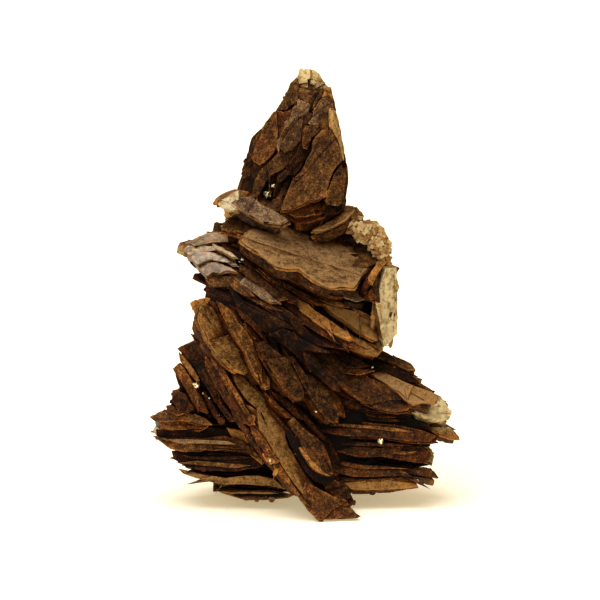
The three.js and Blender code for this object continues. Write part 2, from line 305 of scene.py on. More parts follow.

# The plates that face the front, drawn as the camera sees them. Each row holds, in this order: how far the
# plate stands in front of the solid, how far it turns to the right and how far it leans back in degrees, its
# thickness, how light, how rusty and how pale it is, and the corners of its outline in millimetres, across
# and up in the camera's view. Rust below 0 stands for a grey-taupe face: the plate's own grey, and on upward
# faces painted sheen as well. A tone of 0 or less is painted shade, for a dark plate where a shadowed gap is
# seen.
FRONT_PLATES = {
    "spire_plates": {
        "cap_left": (0.5, -15, 20, 1.4, 1.05, 0.33, 0.45, (
          -1.3, 65.7, -0.9, 66.8, 0, 67.2, 0.8, 67.2, 0.9, 65.7, 0.4, 65.4, 0.4, 64.2, -0.8, 64,
          -1.1, 64.5)),
        "cap_right": (0.35, 15, 15, 1.4, 0.95, 0.33, 0.4, (
          0.6, 67.2, 1.5, 67, 2.2, 66.5, 2.7, 65.5, 3.6, 64.5, 2.5, 64, 1.6, 63.8, 0.4, 64, 0.4, 65.4,
          0.8, 65.8)),
        "cap_small": (0.7, 5, 25, 0.6, 0.95, 0.18, 0.35, (
          0.6, 65.5, 1.5, 65.7, 1.9, 65.1, 1.3, 64.5, 0.6, 64.8)),
        "upper_left": (0.95, -25, 15, 1, 0.55, 0.23, 0, (
          -1.5, 65.7, -0.9, 64.2, -0.6, 63.8, -0.9, 62.8, -1.3, 62.1, -2.1, 61.5, -2.9, 60.9, -3.8, 60.8,
          -4.5, 60.8, -3.9, 61.8, -3.1, 63, -2.5, 64.3, -2.1, 65.2)),
        "grey_top": (0.85, -12, 12, 1, 0.65, -0.1, 0, (
          -0.9, 64.2, 0.9, 64, 1.8, 63.8, 1.1, 62.7, 0.8, 61.6, 0.6, 60.9, -0.1, 60.1, -0.9, 59.2,
          -1.6, 58.3, -2.2, 57.4, -2.7, 56.4, -3.3, 55.4, -4, 54.4, -4.3, 55.2, -3.9, 56.4, -3.3, 57.8,
          -2.7, 58.9, -2.2, 60.1, -1.9, 61.3, -1.2, 62.1, -0.9, 63)),
        "rough_left": (0.95, -18, 18, 1.2, 0.5, 0.73, 0, (
          -4.6, 60.9, -2.9, 61, -1.9, 61.3, -2.2, 60, -2.7, 58.8, -3.3, 57.6, -3.8, 56.2, -4.2, 55, -5, 53.9,
          -5.8, 53.1, -6.8, 52.5, -7.6, 53.1, -8.2, 53.7, -7.6, 54.9, -7.2, 56.1, -6.6, 57.1, -6.3, 58.6,
          -5.5, 59.7)),
        "left_edge": (0.4, -40, 12, 1, 0.3, 0.48, 0, (
          -5.8, 58.9, -6.3, 57.1, -7, 56.1, -7.5, 54.9, -8.1, 53.5, -8.5, 52.5, -8.8, 51.3, -9.3, 50.4,
          -9.6, 52.2, -9.2, 53.2, -8.7, 54.6, -8.2, 55.9, -7.8, 57.1, -7, 58)),
        "left_low": (0.25, -20, 12, 1.2, 0.27, 0.48, 0, (
          -8.2, 54, -7, 52.8, -5.8, 53.1, -6.5, 52, -7.2, 51.1, -7.5, 50.1, -7.6, 48.9, -7.8, 48, -8.8, 48.1,
          -9.9, 48.8, -9.8, 49.9, -9.2, 51.3, -8.8, 52.5)),
        "strip_up": (0.1, -5, 10, 1, 0.47, 0, 0, (
          0.6, 60.9, -0.3, 60.1, -1.1, 59.2, -1.9, 58.3, -2.7, 57.3, -3.3, 56.2, -3.8, 55.2, -3.1, 54.4,
          -2.1, 54.8, -1.2, 55.4, -0.4, 56.4, -0.1, 57.6, 0.4, 58.8, 0.9, 59.8, 1.1, 60.6)),
        "strip_low": (0, -8, 14, 1, 0.45, 0.12, 0, (
          -2.4, 55.6, -3.4, 55.2, -4.3, 54.3, -5.4, 53.1, -6.5, 52.2, -7.3, 51.1, -7.8, 49.9, -8.1, 48.1,
          -7.3, 47.7, -6.9, 48.3, -6.9, 49.4, -6.1, 50.2, -5.1, 50.9, -4, 51.6, -3.1, 52.2, -2.4, 53.2,
          -1.6, 54.1, -1.2, 55.2)),
        "thin_a": (0.5, 0, 10, 0.5, 0.55, 0.18, 0, (
          1.8, 63.8, 2.2, 63.9, 1.8, 63.1, 1.1, 62.1, 0.9, 60.9, 0.4, 61, 0.6, 61.9, 1.1, 62.8)),
        "thin_b": (0.8, 0, 10, 0.5, 0.6, 0.25, 0, (
          2.2, 63.9, 3.1, 64.3, 2.5, 63, 1.8, 62.1, 1.3, 61.2, 0.9, 60.9, 1.1, 61.8, 1.6, 62.8)),
        "purple": (1.2, 5, 12, 1, 0.55, -0.25, 0, (
          2.5, 62.8, 3.3, 62.8, 3.9, 62.2, 4.3, 60.9, 4.2, 59.7, 3.9, 58.8, 3, 58.2, 1.9, 58.5, 0.8, 58.5,
          0.3, 58.8, 0.9, 59.8, 1.1, 60.8, 1.6, 61.8)),
        "orange_corner": (0.7, 30, 5, 0.8, 0.9, 0.88, 0, (
          2.9, 64.2, 3.8, 64.5, 4, 63.6, 4.3, 62.4, 4.5, 61, 3.9, 60.8, 3.6, 61.8, 3.3, 62.7, 2.4, 62.8)),
        "small_right": (0.5, 5, 10, 0.8, 0.5, 0.63, 0, (
          0, 58.6, 1.9, 58.6, 2.4, 57.8, 1.5, 56.9, 0.9, 56.1, 0.4, 54.9, -0.3, 55, -0.4, 56.2, -0.4, 57.6)),
        "hollow_up": (-0.3, 10, 5, 0.8, 0.15, 0.38, 0, (
          -0.3, 56.5, 1.2, 56.5, 1.1, 55, 0.4, 54, -0.8, 52.9, -2.2, 51.9, -2.9, 52.2, -1.9, 53.7,
          -1.1, 54.9)),
        "hollow_mid": (0.1, 5, 8, 0.6, 0.35, 0.38, 0, (
          0.6, 54.4, -0.3, 53.2, -0.8, 52, -1.6, 51.1, -2.5, 51.3, -3.3, 50.5, -4, 50.1, -4.3, 50.7,
          -3.1, 51.9, -1.9, 53.1, -0.8, 54)),
        # Painted shade: a dark plate where a shadowed gap is seen.
        "hollow_low": (-1.2, 0, 10, 0.8, -0.05, 0.38, 0, (
          -2.2, 51.3, -2.1, 50.7, -2.9, 49.8, -3.6, 48.9, -4.3, 48.4, -4.3, 49.5, -3.8, 50.2, -3.1, 50.9)),
        "big": (1.4, 8, 12, 1.6, 0.47, 0.1, 0, (
          3.8, 58.6, 4.2, 58, 4.6, 56.9, 5.1, 55.5, 5.4, 54.3, 5.5, 53.2, 4.8, 52.4, 4.2, 51.4, 3.8, 50.4,
          3.4, 49.2, 3.3, 47.9, 1.9, 47.5, 0.4, 47.1, -0.8, 46.6, -2.2, 46, -3.6, 45.8, -3.4, 46.9, -3, 48.1,
          -2.5, 49, -2.1, 50.1, -1.5, 51, -0.6, 51.8, 0, 52.9, 0.4, 53.9, 1.1, 55, 1.2, 56.4, 1.6, 57.1,
          2.4, 57.9)),
        "right_low": (0.9, 25, 8, 1.2, 0.4, 0.25, 0, (
          5.4, 52.8, 5.8, 52, 6.1, 51.1, 6, 49.8, 5.8, 48.3, 5.7, 47.2, 5, 46.6, 3.4, 46.8, 3, 47.5,
          3.3, 48.9, 3.8, 50.2, 4.3, 51.4)),
        "light_edge": (0.3, 50, 5, 0.8, 0.95, 0.38, 0.2, (
          4, 60.9, 4.5, 60.9, 5, 59.8, 5.1, 58.8, 5.2, 57.6, 5.5, 56.2, 5.8, 54.9, 5.7, 53.2, 5.2, 54,
          5, 55.5, 4.5, 57, 4, 58.2, 3.9, 59.4)),
        "low_mid": (0.3, 0, 20, 1, 0.4, 0.18, 0, (
          -1.9, 51.1, -1.6, 50.7, -2.4, 49.6, -3, 48.6, -3.4, 47.2, -3.8, 45.8, -5, 45.9, -5.8, 46.4,
          -6.1, 46.8, -5, 47.1, -4.2, 48, -3.6, 49, -2.9, 50.1)),
        "rusty_base": (0.7, 0, 40, 1, 0.45, 0.78, 0, (
          -3.1, 45.9, -1.9, 46.4, -0.4, 46.8, 1.1, 47.2, 2.5, 47.4, 3.3, 46.6, 2.5, 45.6, 0.4, 45,
          -1.6, 44.9)),
        "dark_base": (0, 10, 20, 1, 0.05, 0.38, 0, (
          2.5, 47.2, 4, 46.6, 5.7, 47.1, 6, 46.2, 5.2, 45.6, 3.8, 45.3, 2.2, 45.6)),
    },
    "ledge_plates": {
        "grey_ledge": (1, -5, 48, 0.9, 0.62, -0.3, 0, (
          -11.1, 47.2, -9.9, 48.1, -7.9, 48, -6.5, 46.8, -4.5, 45.9, -2.5, 44.5, -3.6, 43.8, -6.3, 44.2,
          -8.4, 45.3, -10.2, 46.4)),
        "ledge_line": (0.7, -8, 50, 0.4, 0.5, 0.3, 0, (
          -11.5, 46.8, -10.2, 46, -8.4, 45, -6.5, 43.9, -4, 43.4, -5.5, 43, -7.9, 43.8, -10, 45, -11.5, 46)),
        "under_ledge": (0.2, -10, 60, 1, 0.5, 0.3, 0, (
          -12.4, 44.5, -10.8, 45.3, -8.7, 44.4, -6.5, 43.4, -3.6, 43.6, -5, 42.9, -7.5, 42.4, -9.6, 42.6,
          -12.6, 43.4)),
        "scaly": (0.3, 10, 60, 0.8, 0.6, 0.4, 0, (
          -9.8, 43.6, -7.3, 43.8, -6.5, 42.6, -7.6, 40.8, -8.8, 41.7, -10.3, 42.6)),
        "block_back": (0.3, 20, 35, 2, 0.6, 0.45, 0.1, (
          5.5, 46.2, 7.8, 46.8, 8.8, 45.3, 8.7, 44.5, 6.3, 44.2, 4.3, 44.5)),
        "block_edge": (0.7, -5, 55, 0.8, 0.75, 0.1, 0.1, (
          0.9, 43, 2.7, 43.9, 5.7, 45.8, 7.5, 46.4, 6.1, 44.7, 4, 43.6, 2.5, 43)),
        # Painted shade: a dark plate where a shadowed gap is seen.
        "block_gap": (-0.6, 10, 40, 0.8, -0.30, 0.30, 0, (
          3.9, 43, 5.7, 43.5, 7.3, 42, 7.2, 41.1, 5.1, 41.9, 3.6, 42.3)),
    },
    "shoulder_plates": {
        "top_face": (0.6, 38, 65, 0.8, 0.95, -0.12, 0, (
          -9.6, 41.7, -8.5, 40.8, -7.3, 40, -5.8, 38.9, -4.2, 37.8, -2.7, 37.5, -0.9, 37.5, -0.1, 36.8,
          1.1, 35.9, 2.4, 35.1, 3.9, 34.6, 5.8, 34.8, 7.3, 34.6, 8.4, 36, 9.4, 36.8, 10.2, 37.8, 11.7, 38.7,
          12, 39.6, 10.3, 40, 8.5, 40.2, 7, 40.8, 5.7, 41.7, 3.8, 42.8, 1.9, 43.5, -0.8, 43.9, -3.1, 43.9,
          -5.5, 43.6, -7.6, 43.4, -8.8, 42.8)),
        "scale_left": (0.8, 38, 65, 0.3, 1, 0, 0, (-3, 43, -1.3, 43.4, -0.3, 42.8, -1.2, 42.3, -2.4, 42.4)),
        "scale_right": (0.8, 38, 65, 0.3, 1, 0.3, 0, (
          0.9, 42.3, 2.2, 42.9, 3.4, 42.9, 3.1, 42, 1.9, 41.7, 1.1, 41.9)),
        "orange_end": (0.8, 40, 55, 0.5, 0.95, 1, 0, (
          9.3, 36.1, 10, 37.2, 10.8, 38.1, 11.8, 38.9, 12.2, 38.2, 11.4, 37.2, 10.7, 36.3, 10, 35.1,
          9.3, 35.4)),
        "right_small": (0.6, 20, 55, 0.5, 0.85, -0.3, 0, (
          5.4, 34, 6.3, 34.6, 7.2, 34.5, 8.2, 33.4, 9.4, 32.7, 7.5, 32.5, 5.8, 33.1)),
        "brown_right": (0.4, 30, 30, 0.5, 0.4, 0.5, 0, (
          9.9, 35.2, 10.7, 34.8, 11.1, 33.6, 11.1, 32.5, 9.9, 32.7, 9.4, 33.6)),
        "light_right": (1.3, 15, 38, 0.8, 1.2, 0.1, 0, (
          2.4, 32.2, 4.3, 31.9, 6, 31.3, 7.3, 31, 8.8, 30.3, 10.3, 29.5, 11.5, 28.6, 11.8, 27.8, 10.9, 26.4,
          9.4, 27, 7.6, 28.1, 5.8, 29.4, 4, 30.8)),
        "needle": (0.6, 20, 40, 0.3, 0.95, 0.1, 0, (
          6.8, 31.6, 7.9, 31.3, 9.3, 30.6, 10.7, 29.7, 10.3, 29.5, 8.8, 30.1, 7.3, 31)),
        "grey_low": (1.2, -8, 40, 0.4, 0.95, -0.15, 0, (
          1.9, 30.6, 3.3, 30, 5, 28.8, 7, 27.3, 5.8, 27.3, 4, 28.2, 2.4, 29.4)),
        "low_tip": (0.9, 5, 30, 1, 0.9, 0.3, 0, (
          2.5, 29.5, 4.6, 28.5, 6.8, 27.4, 8.8, 26.6, 10.9, 25.8, 11.8, 25.3, 10.9, 24.4, 9.2, 24.6,
          6.8, 25.5, 4.6, 26.6, 2.9, 27.8)),
        "grey_long": (0.75, -8, 38, 0.8, 0.75, -0.25, 0.05, (
          -11.8, 37.4, -10.2, 37.5, -8.8, 36.4, -7.6, 35.4, -6.3, 34.5, -5.1, 33.3, -3.8, 32.2, -5, 32.1,
          -6.6, 32.9, -8.2, 34, -9.8, 35.1, -11.2, 36.3)),
        "clump": (0.5, -15, 30, 1, 0.55, 0.6, 0, (
          -15, 36.1, -13.9, 36.8, -12.4, 36.3, -11.1, 36.3, -9.8, 35.2, -8.2, 34.2, -7.3, 33.1, -8.8, 33.1,
          -10.3, 33.9, -11.8, 34.4, -13.7, 34.5, -14.5, 35.1)),
        # Painted shade: a dark plate where a shadowed gap is seen.
        "dark_patch": (-0.2, 20, 40, 0.6, -0.1, 0.4, 0, (
          7.5, 34.9, 8.5, 35.7, 9.9, 35.1, 10.8, 34.2, 11.1, 33, 9.8, 32.9, 8.5, 33.6)),
        # Painted shade: a dark plate where a shadowed gap is seen.
        "dark_triangle": (-0.8, 20, 10, 0.8, -0.4, 0.3, 0, (
          6.1, 32.9, 11.1, 32.5, 11.5, 30.9, 11.8, 28.6, 10, 29.5, 8.2, 30.8, 6.5, 31.5)),
    },
    "fresh_plates": {
        "cream_tip": (0.2, -20, 35, 1.4, 0.9, 0.1, 1, (
          -13.2, 46.9, -11.2, 48.4, -9.9, 49, -9.8, 47.5, -10.8, 47.1, -9.8, 46, -11.4, 45.8, -12.9, 46.4)),
        "cream_top": (0.3, -10, 55, 0.5, 0.7, 1.1, 0.8, (
          -17.8, 41.4, -16.3, 42.1, -14.8, 42.8, -13.3, 43, -11.8, 43, -10.3, 42.6, -8.8, 41.7, -10.3, 41.5,
          -11.8, 41.5, -13.7, 41.4, -15.1, 41.1, -16.6, 40.8)),
        "cream_second": (0.5, -10, 50, 0.45, 0.8, 0.9, 1, (
          -18.4, 40.2, -17.7, 40.9, -16.3, 40.8, -14.8, 41.1, -13.7, 41.2, -12.4, 40.8, -13.3, 40.2,
          -14.5, 40, -16.1, 39.8, -17.2, 39.4)),
        "cream_third": (0.35, -15, 40, 0.5, 0.6, 0.7, 1, (
          -17.2, 39.3, -16.1, 39.9, -14.5, 40, -13.3, 39.6, -12.2, 39, -11.2, 38.2, -12.4, 38.4, -13.9, 38.7,
          -15.1, 38.4, -16.2, 37.9, -16.8, 38.7)),
        "cream_fourth": (0.5, -20, 40, 0.6, 0.5, 0.75, 1, (
          -16.2, 37.8, -14.8, 38.4, -13.3, 38.4, -11.8, 37.9, -10.7, 37.5, -10, 36.9, -11.2, 37, -12.4, 36.6,
          -13.9, 36.8, -14.8, 36.1, -15.6, 36.9)),
        "cream_streak_high": (0.6, -12, 45, 0.35, 0.75, 0.7, 0.4, (
          -13.8, 41.2, -12.4, 40.6, -10.9, 39.8, -10, 39, -10.9, 39, -12.4, 39.8, -13.7, 40.5)),
        "cream_streak_low": (0.55, -12, 40, 0.35, 0.6, 0.8, 0.5, (
          -13.3, 39.8, -12.2, 39.4, -10.9, 38.7, -9.8, 37.8, -10.9, 37.9, -12.2, 38.5)),
        "pale_strip": (0.4, 20, 8, 1.2, 0.9, 0.1, 1, (
          10.9, 34.5, 12, 37.6, 13.7, 37.6, 13.8, 36, 14.1, 34.6, 13.5, 33.6, 13.9, 30, 13.8, 27.6,
          12.6, 26.1, 11.7, 25.5, 11.4, 27, 11.5, 28.5, 10.7, 32.1)),
        "pale_edge": (0.7, 15, 8, 0.3, 0.8, 0.2, 0.8, (
          10.3, 32.7, 10.9, 32.4, 11.8, 28.6, 12.2, 25.9, 11.5, 27, 11.1, 29.4)),
        "cream_end": (0.4, -40, 20, 1.4, 0.8, 0.2, 0.9, (
          -22.9, 13, -22.5, 13.8, -21.3, 13.9, -20.1, 13.2, -20.2, 12.2, -21.6, 11.5, -22.5, 12.2)),
        "blade_tip": (0.8, -10, 55, 0.5, 0.8, 0.1, 0.8, (
          -23.2, 15.3, -21.8, 15.8, -20.1, 15.3, -21.6, 14.7)),
        "glassy_tip": (0.3, 20, 35, 1.8, 1.05, 0.1, 0.9, (
          15.9, 16.2, 18, 17.7, 20.2, 18, 21.1, 16.9, 22.2, 15.8, 21.8, 14.7, 19.5, 14.5, 17.2, 15.3)),
    },
    "leaf_plates": {
        "foot_top": (-0.1, 10, 10, 0.6, 0.1, 0.6, 0, (
          2.5, 6.3, 4.3, 5.5, 6.1, 4.8, 7.2, 4, 6.9, 3.1, 5.2, 3, 3.3, 3.8, 1.5, 4.8)),
        "first": (1, 35, 30, 1.2, 0.66, 0.1, 0, (
          -15.6, 31.8, -14.8, 32.2, -13.9, 31.8, -12.9, 30.6, -12, 29.5, -11.4, 28.2, -10.7, 26.7,
          -9.9, 25.3, -9.2, 24, -8.5, 22.8, -8.2, 21.9, -8.8, 21.6, -10, 21.9, -11.4, 22.8, -12.6, 24,
          -13.8, 25.5, -14.7, 27, -15.3, 28.5, -15.9, 30.1)),
        "first_rim": (0.7, 0, 10, 0.7, 0.95, 0.9, 0, (
          -17.2, 32.1, -16.6, 32.5, -15.6, 32.9, -14.7, 33.1, -14.1, 32.9, -14.5, 32.1, -15.3, 31.5,
          -15.4, 30.3, -15.3, 29.1, -14.7, 27.6, -15.3, 27.9, -15.9, 29.4, -16.5, 30.6, -16.9, 31.5)),
        "split_high": (0.8, 30, 25, 0.4, 0.35, 0.6, 0, (
          -14.4, 33, -13.7, 32.7, -12.8, 31.5, -11.7, 30.1, -12.4, 30.3, -13.5, 31.3, -14.2, 32.2)),
        "second": (0.9, 35, 25, 1, 0.55, 0.35, 0, (
          -12.6, 32.5, -11.8, 30.9, -11.2, 29.7, -10.7, 28.2, -9.8, 26.4, -8.8, 24.8, -8.2, 23.4, -7.6, 22.2,
          -6.9, 21.1, -6.1, 20.1, -5.7, 19.3, -5.1, 19.5, -5, 20.4, -5.5, 21.3, -6.1, 22.5, -6.8, 24,
          -7.3, 25.3, -7.9, 26.6, -8.7, 27.8, -9.6, 29.1, -10.5, 30.4, -11.4, 31.6)),
        "second_end": (1.1, 20, 20, 0.5, 0.95, 0.95, 0, (
          -7.3, 22.5, -6.6, 22.8, -5.8, 21.9, -5.1, 20.7, -5, 19.5, -5.7, 19.5, -6.5, 20.4, -7, 21.3)),
        "thin_first": (0.6, 30, 20, 0.4, 0.35, 0.8, 0, (
          -11.8, 32.2, -10.9, 31.5, -9.8, 30, -8.7, 28.6, -7.6, 27.1, -6.8, 25.9, -7.3, 25.9, -8.2, 27.1,
          -9.3, 28.5, -10.5, 30, -11.5, 31.3)),
        "thin_second": (0.4, 30, 20, 0.4, 0.2, 0.8, 0, (
          -11.2, 32.2, -10, 31.3, -8.7, 29.7, -7.3, 28.1, -6.1, 26.4, -6.6, 25.9, -7.6, 27.3, -9, 28.9,
          -10.3, 30.4)),
        "thin_third": (0.3, 30, 20, 0.4, 0.3, 0.6, 0, (
          -10.3, 31.8, -8.8, 30.6, -7.3, 29.1, -5.8, 27.3, -4.8, 25.9, -6.1, 26.8, -7.8, 28.5, -9.4, 30.1)),
        "third": (0.9, 30, 28, 1.2, 0.28, 0.1, 0, (
          -7, 26.4, -6.1, 26.6, -5, 25.8, -3.8, 24.9, -2.5, 24, -1.8, 22.8, -1.2, 21.6, -0.6, 20.2,
          -0.1, 18.9, -0.3, 17.8, -1.2, 17.7, -2.2, 18.6, -3.3, 19.8, -4.2, 21.1, -5.1, 22.5, -6, 24,
          -6.6, 25.2)),
        "third_side": (0.5, 30, 20, 0.4, 0.3, 0.5, 0, (
          -2.4, 24.4, -1.5, 24, -0.6, 22.8, 0.3, 21.3, 0.8, 19.8, 1.5, 18.1, 0.9, 18.1, 0, 19.5, -0.9, 21.3,
          -1.6, 22.8)),
        "point": (1, 25, 25, 0.9, 0.28, 0.3, 0, (
          -0.3, 21.9, 0.8, 21.6, 1.9, 20.7, 3.1, 19.5, 4.2, 18, 4.8, 16.5, 5, 15.1, 4.5, 14.2, 3.3, 14.7,
          2.1, 16.1, 1.1, 17.6, 0.1, 19.1, -0.3, 20.6)),
        "dark_high": (0.1, 20, 15, 0.8, 0.1, 0.6, 0, (
          -6.5, 30, -4.3, 29.4, -2.2, 27.8, -0.8, 25.9, 0.6, 24.1, 1.9, 22.5, 0.6, 22.8, -1.1, 24.4,
          -2.9, 25.9, -4.6, 27.6, -6.1, 28.8)),
        "dark_right": (0.1, 20, 15, 0.8, 0.05, 0.4, 0, (
          -2.5, 30, -0.4, 28.8, 1.5, 27, 3.1, 24.9, 4, 23.4, 2.2, 24, 0.1, 26.1, -1.5, 28.1)),
        "dark_low": (0, 20, 15, 0.8, 0.05, 0.5, 0, (
          -0.4, 25.2, 1.3, 24, 3.1, 22.5, 4.6, 20.7, 5.2, 18.9, 4, 19.2, 2.2, 21, 0.4, 22.8)),
        "middle_top": (1, 30, 28, 1.2, 0.7, 0.15, 0, (
          -11.1, 22.1, -9.8, 21.6, -8.4, 21.3, -7.3, 20.1, -6.5, 18.9, -5.5, 17.7, -4.5, 16.5, -3.6, 15.1,
          -5.2, 15.1, -7, 16.2, -8.7, 17.7, -9.9, 19.3, -10.7, 20.7)),
        "middle": (0.7, 30, 28, 1.4, 0.85, 0.25, 0, (
          -9.8, 17.7, -8.2, 17.1, -7, 16.2, -5.5, 15.9, -4, 15, -3.1, 13.8, -2.9, 12.3, -2.4, 10.8,
          -1.6, 9.3, -0.8, 7.8, 0.1, 6.3, 1.6, 4.5, 2.9, 3.3, 0.8, 3, -0.4, 3.6, -1.6, 5.1, -2.9, 6.9,
          -4, 8.7, -5.1, 10.5, -6.1, 12.2, -7.3, 13.5, -8.2, 14.7, -9.2, 16.1)),
        "pointed": (0.5, 25, 30, 1.1, 0.38, 0.3, 0, (
          -2.5, 14.7, -1.8, 15.3, -0.8, 14.1, 0.3, 13.2, 1.6, 12.3, 2.7, 11.2, 3.4, 9.9, 3.9, 8.4, 4.2, 6.9,
          3.8, 6.5, 2.5, 7.3, 1.3, 7.9, 0.4, 9.2, -0.4, 10.7, -1.3, 12.2, -2.2, 13.5)),
        # Painted shade: a dark plate where a shadowed gap is seen.
        "pointed_under": (-0.2, 5, 0, 0.8, -0.30, 0.40, 0, (
          -3.3, 14.1, -2.2, 13.5, -1.1, 11.7, 0, 9.9, 1.2, 8.1, 3, 6.9, 4.6, 6, 3.8, 5.1, 1.6, 5.7,
          -0.1, 7.2, -1.3, 9.3, -2.5, 11.7)),
        "foot_face": (0.2, 5, 20, 1.4, 0.46, 0.65, 0, (
          0, 6, 1.3, 5, 2.9, 4.2, 4.2, 3.6, 6, 3.1, 6.8, 2.2, 7.6, 1.2, 8.4, 0.6, 7.9, 0.3, 6, 0.3, 3.8, 0.1,
          2.9, -0.1, 1.9, -0.1, 1.1, 0.8, 0.1, 1.9, -0.8, 3.1)),
        "foot_side": (0.1, 20, 10, 0.9, 0.35, 0.5, 0, (
          3.4, 6, 5, 5.7, 6.5, 4.5, 6.8, 3, 5.5, 2.7, 4, 3.6, 2.9, 4.6)),
    },
    "left_leaf_plates": {
        "upper": (0.5, -15, 15, 1.1, 0.22, 0.7, 0, (
          -19.1, 25.5, -18, 26.1, -16.5, 26.7, -15.8, 26.4, -15.3, 25.2, -14.7, 24, -14.1, 22.5, -13.7, 20.7,
          -13, 18.8, -13.7, 18.1, -14.5, 19.3, -15.4, 20.6, -16.3, 22.1, -17.2, 23.2, -18.1, 24.3)),
        "rim": (0.75, -10, 10, 0.5, 0.75, 0.85, 0, (
          -18.9, 25.1, -18, 24.1, -17.2, 23.1, -16.3, 21.8, -15.8, 20.7, -16.3, 20.6, -17.1, 21.6, -18, 22.8,
          -18.8, 24)),
        "lath": (0.7, -25, 12, 0.8, 0.45, 0.95, 0, (
          -19.8, 22.5, -18.9, 23.4, -18.1, 22.8, -17.4, 21.6, -16.8, 20.6, -16.3, 19.1, -15.6, 17.8,
          -14.8, 16.6, -14.4, 15.6, -15.9, 16.1, -16.8, 17.4, -17.7, 19.1, -18.6, 20.7, -19.3, 21.6)),
        "low": (0.5, -10, 12, 0.7, 0.2, 0.8, 0, (
          -15.4, 19.2, -14.5, 18.4, -13.7, 17.1, -12.8, 15.6, -12, 14.4, -13, 14.5, -14.1, 15.9,
          -14.8, 17.4)),
        "inner": (0.45, -10, 12, 0.7, 0.35, 0.95, 0, (
          -15, 23.4, -13.9, 21.9, -13, 20.1, -12, 18.3, -10.9, 16.3, -10, 14.5, -11.2, 14.5, -12.4, 15.9,
          -13.7, 17.7, -14.5, 19.8, -15.1, 21.6)),
        "clump": (0.3, -30, 20, 1.2, 0.2, 0.5, 0, (
          -19.6, 18.6, -19.1, 19.2, -18, 18.8, -17.4, 17.7, -16.8, 16.5, -17.6, 15.8, -18.8, 15.9,
          -19.3, 16.9, -19.9, 17.7)),
        "clump_low": (0.3, -20, 30, 0.7, 0.45, 0.6, 0, (
          -20.8, 16.8, -19.9, 17.1, -18.8, 16.5, -17.7, 15.8, -19.1, 15.4, -20.4, 15.9)),
    },
    "left_fan_plates": {
        # Painted shade: a dark plate where a shadowed gap is seen.
        "slit_low": (0.3, -5, 5, 0.25, -0.3, 0.5, 0, (
          -11.2, 3.4, -8.2, 3.4, -5.2, 3.4, -2.7, 3.2, -5.2, 3.1, -8.2, 3.2, -10.3, 3.2)),
        "line_dark": (0, -5, 20, 0.3, 0.3, 0.5, 0, (
          -18.4, 9.4, -15.8, 9.3, -12.8, 9.2, -9.8, 9.3, -7.9, 9, -11.2, 8.8, -15, 8.8, -17.2, 9)),
        "line_under": (0.1, -5, 20, 0.3, 0.35, 0.5, 0, (
          -17.8, 7.6, -15, 7.6, -12, 7.5, -8.5, 7.6, -6.5, 7.5, -9.8, 7.2, -13.5, 7.2, -16.1, 7.3)),
        "scab_third": (0.7, -5, 20, 0.3, 0.5, 0.9, 0, (
          -17.8, 14.1, -16.3, 14.1, -14.4, 13.7, -15.9, 13.2, -17.6, 13.3)),
        "scab_second": (0.9, -15, 25, 0.3, 0.95, 0.8, 0.2, (
          -21.3, 14.5, -20.2, 15, -19.1, 14.7, -17.8, 14.1, -19.2, 13.5, -20.7, 13.7)),
        "scab_first": (0.8, -10, 25, 0.3, 0.85, 0.9, 0, (
          -18.3, 15.3, -17.2, 15.6, -15.8, 15.1, -14.5, 14.5, -15.9, 14.1, -17.4, 14.5)),
        # Painted shade: a dark plate where a shadowed gap is seen.
        "gap_low": (-0.3, -5, 5, 0.5, -0.2, 0.5, 0, (
          -13.7, 4.7, -11.2, 4.5, -8.2, 4.1, -5.2, 4.2, -3.1, 3.6, -2.2, 3.3, -4.5, 3.4, -8.2, 3.7,
          -10.9, 3.9, -13, 4)),
        "blade": (0.5, -10, 30, 0.5, 0.55, 0.6, 0, (
          -23.2, 15.3, -21.8, 15.9, -19.9, 16.1, -18.1, 15.9, -16.3, 15.6, -14.8, 15, -13.7, 14.1,
          -15.1, 14.1, -16.9, 14.5, -19.1, 14.7, -21.1, 14.5, -22.3, 14.7)),
        "blade_low": (0.5, -10, 20, 0.4, 0.8, 0.9, 0, (
          -21.9, 14.4, -20.2, 14.8, -18.4, 14.5, -16.3, 14.1, -14.4, 13.5, -15.8, 13, -17.8, 13.2,
          -19.9, 13.2, -21.6, 13.5)),
        # Painted shade: a dark plate where a shadowed gap is seen.
        "dark_high": (-0.3, -5, 15, 0.8, 0, 0.7, 0, (
          -22.5, 13.2, -20.2, 13.3, -17.2, 13, -14.2, 13.5, -11.5, 13.2, -9.8, 12.3, -12.8, 11.8,
          -16.5, 11.8, -20.2, 12, -22.3, 12.2)),
        "band_high": (0.7, -8, 22, 0.8, 0.5, 0.75, 0, (
          -22.9, 12.2, -21, 12, -18, 12, -15, 12, -12, 12.2, -9.8, 11.8, -7.9, 10.8, -6.9, 9.3, -8.8, 9.9,
          -12, 10.2, -15.8, 10, -18.8, 10, -20.2, 10.3, -21.4, 11.1)),
        "line_high": (0.9, -8, 25, 0.3, 1, -0.1, 0, (
          -21, 11.8, -18, 11.8, -15, 11.7, -11.5, 11.5, -10.3, 11.1, -12.4, 11.1, -15.8, 11.2, -18.8, 11.2)),
        "orange_high": (0.9, 0, 20, 0.8, 1, 1.1, 0, (
          -11.8, 13.5, -9.8, 13.2, -8.2, 12.3, -7, 10.8, -6.1, 9.3, -6.3, 7.9, -7.9, 9.2, -9.8, 10.7,
          -10.9, 12)),
        # Painted shade: a dark plate where a shadowed gap is seen.
        "dark_mid": (-0.2, -5, 15, 0.8, 0, 0.7, 0, (
          -20.2, 10, -17.2, 9.9, -13.5, 9.9, -9.8, 9.6, -7, 9, -6.1, 7.6, -9.8, 7, -14.2, 7, -18, 7.6,
          -19.8, 8.7)),
        "line_mid": (0.3, -5, 20, 0.35, 0.7, 0.4, 0, (
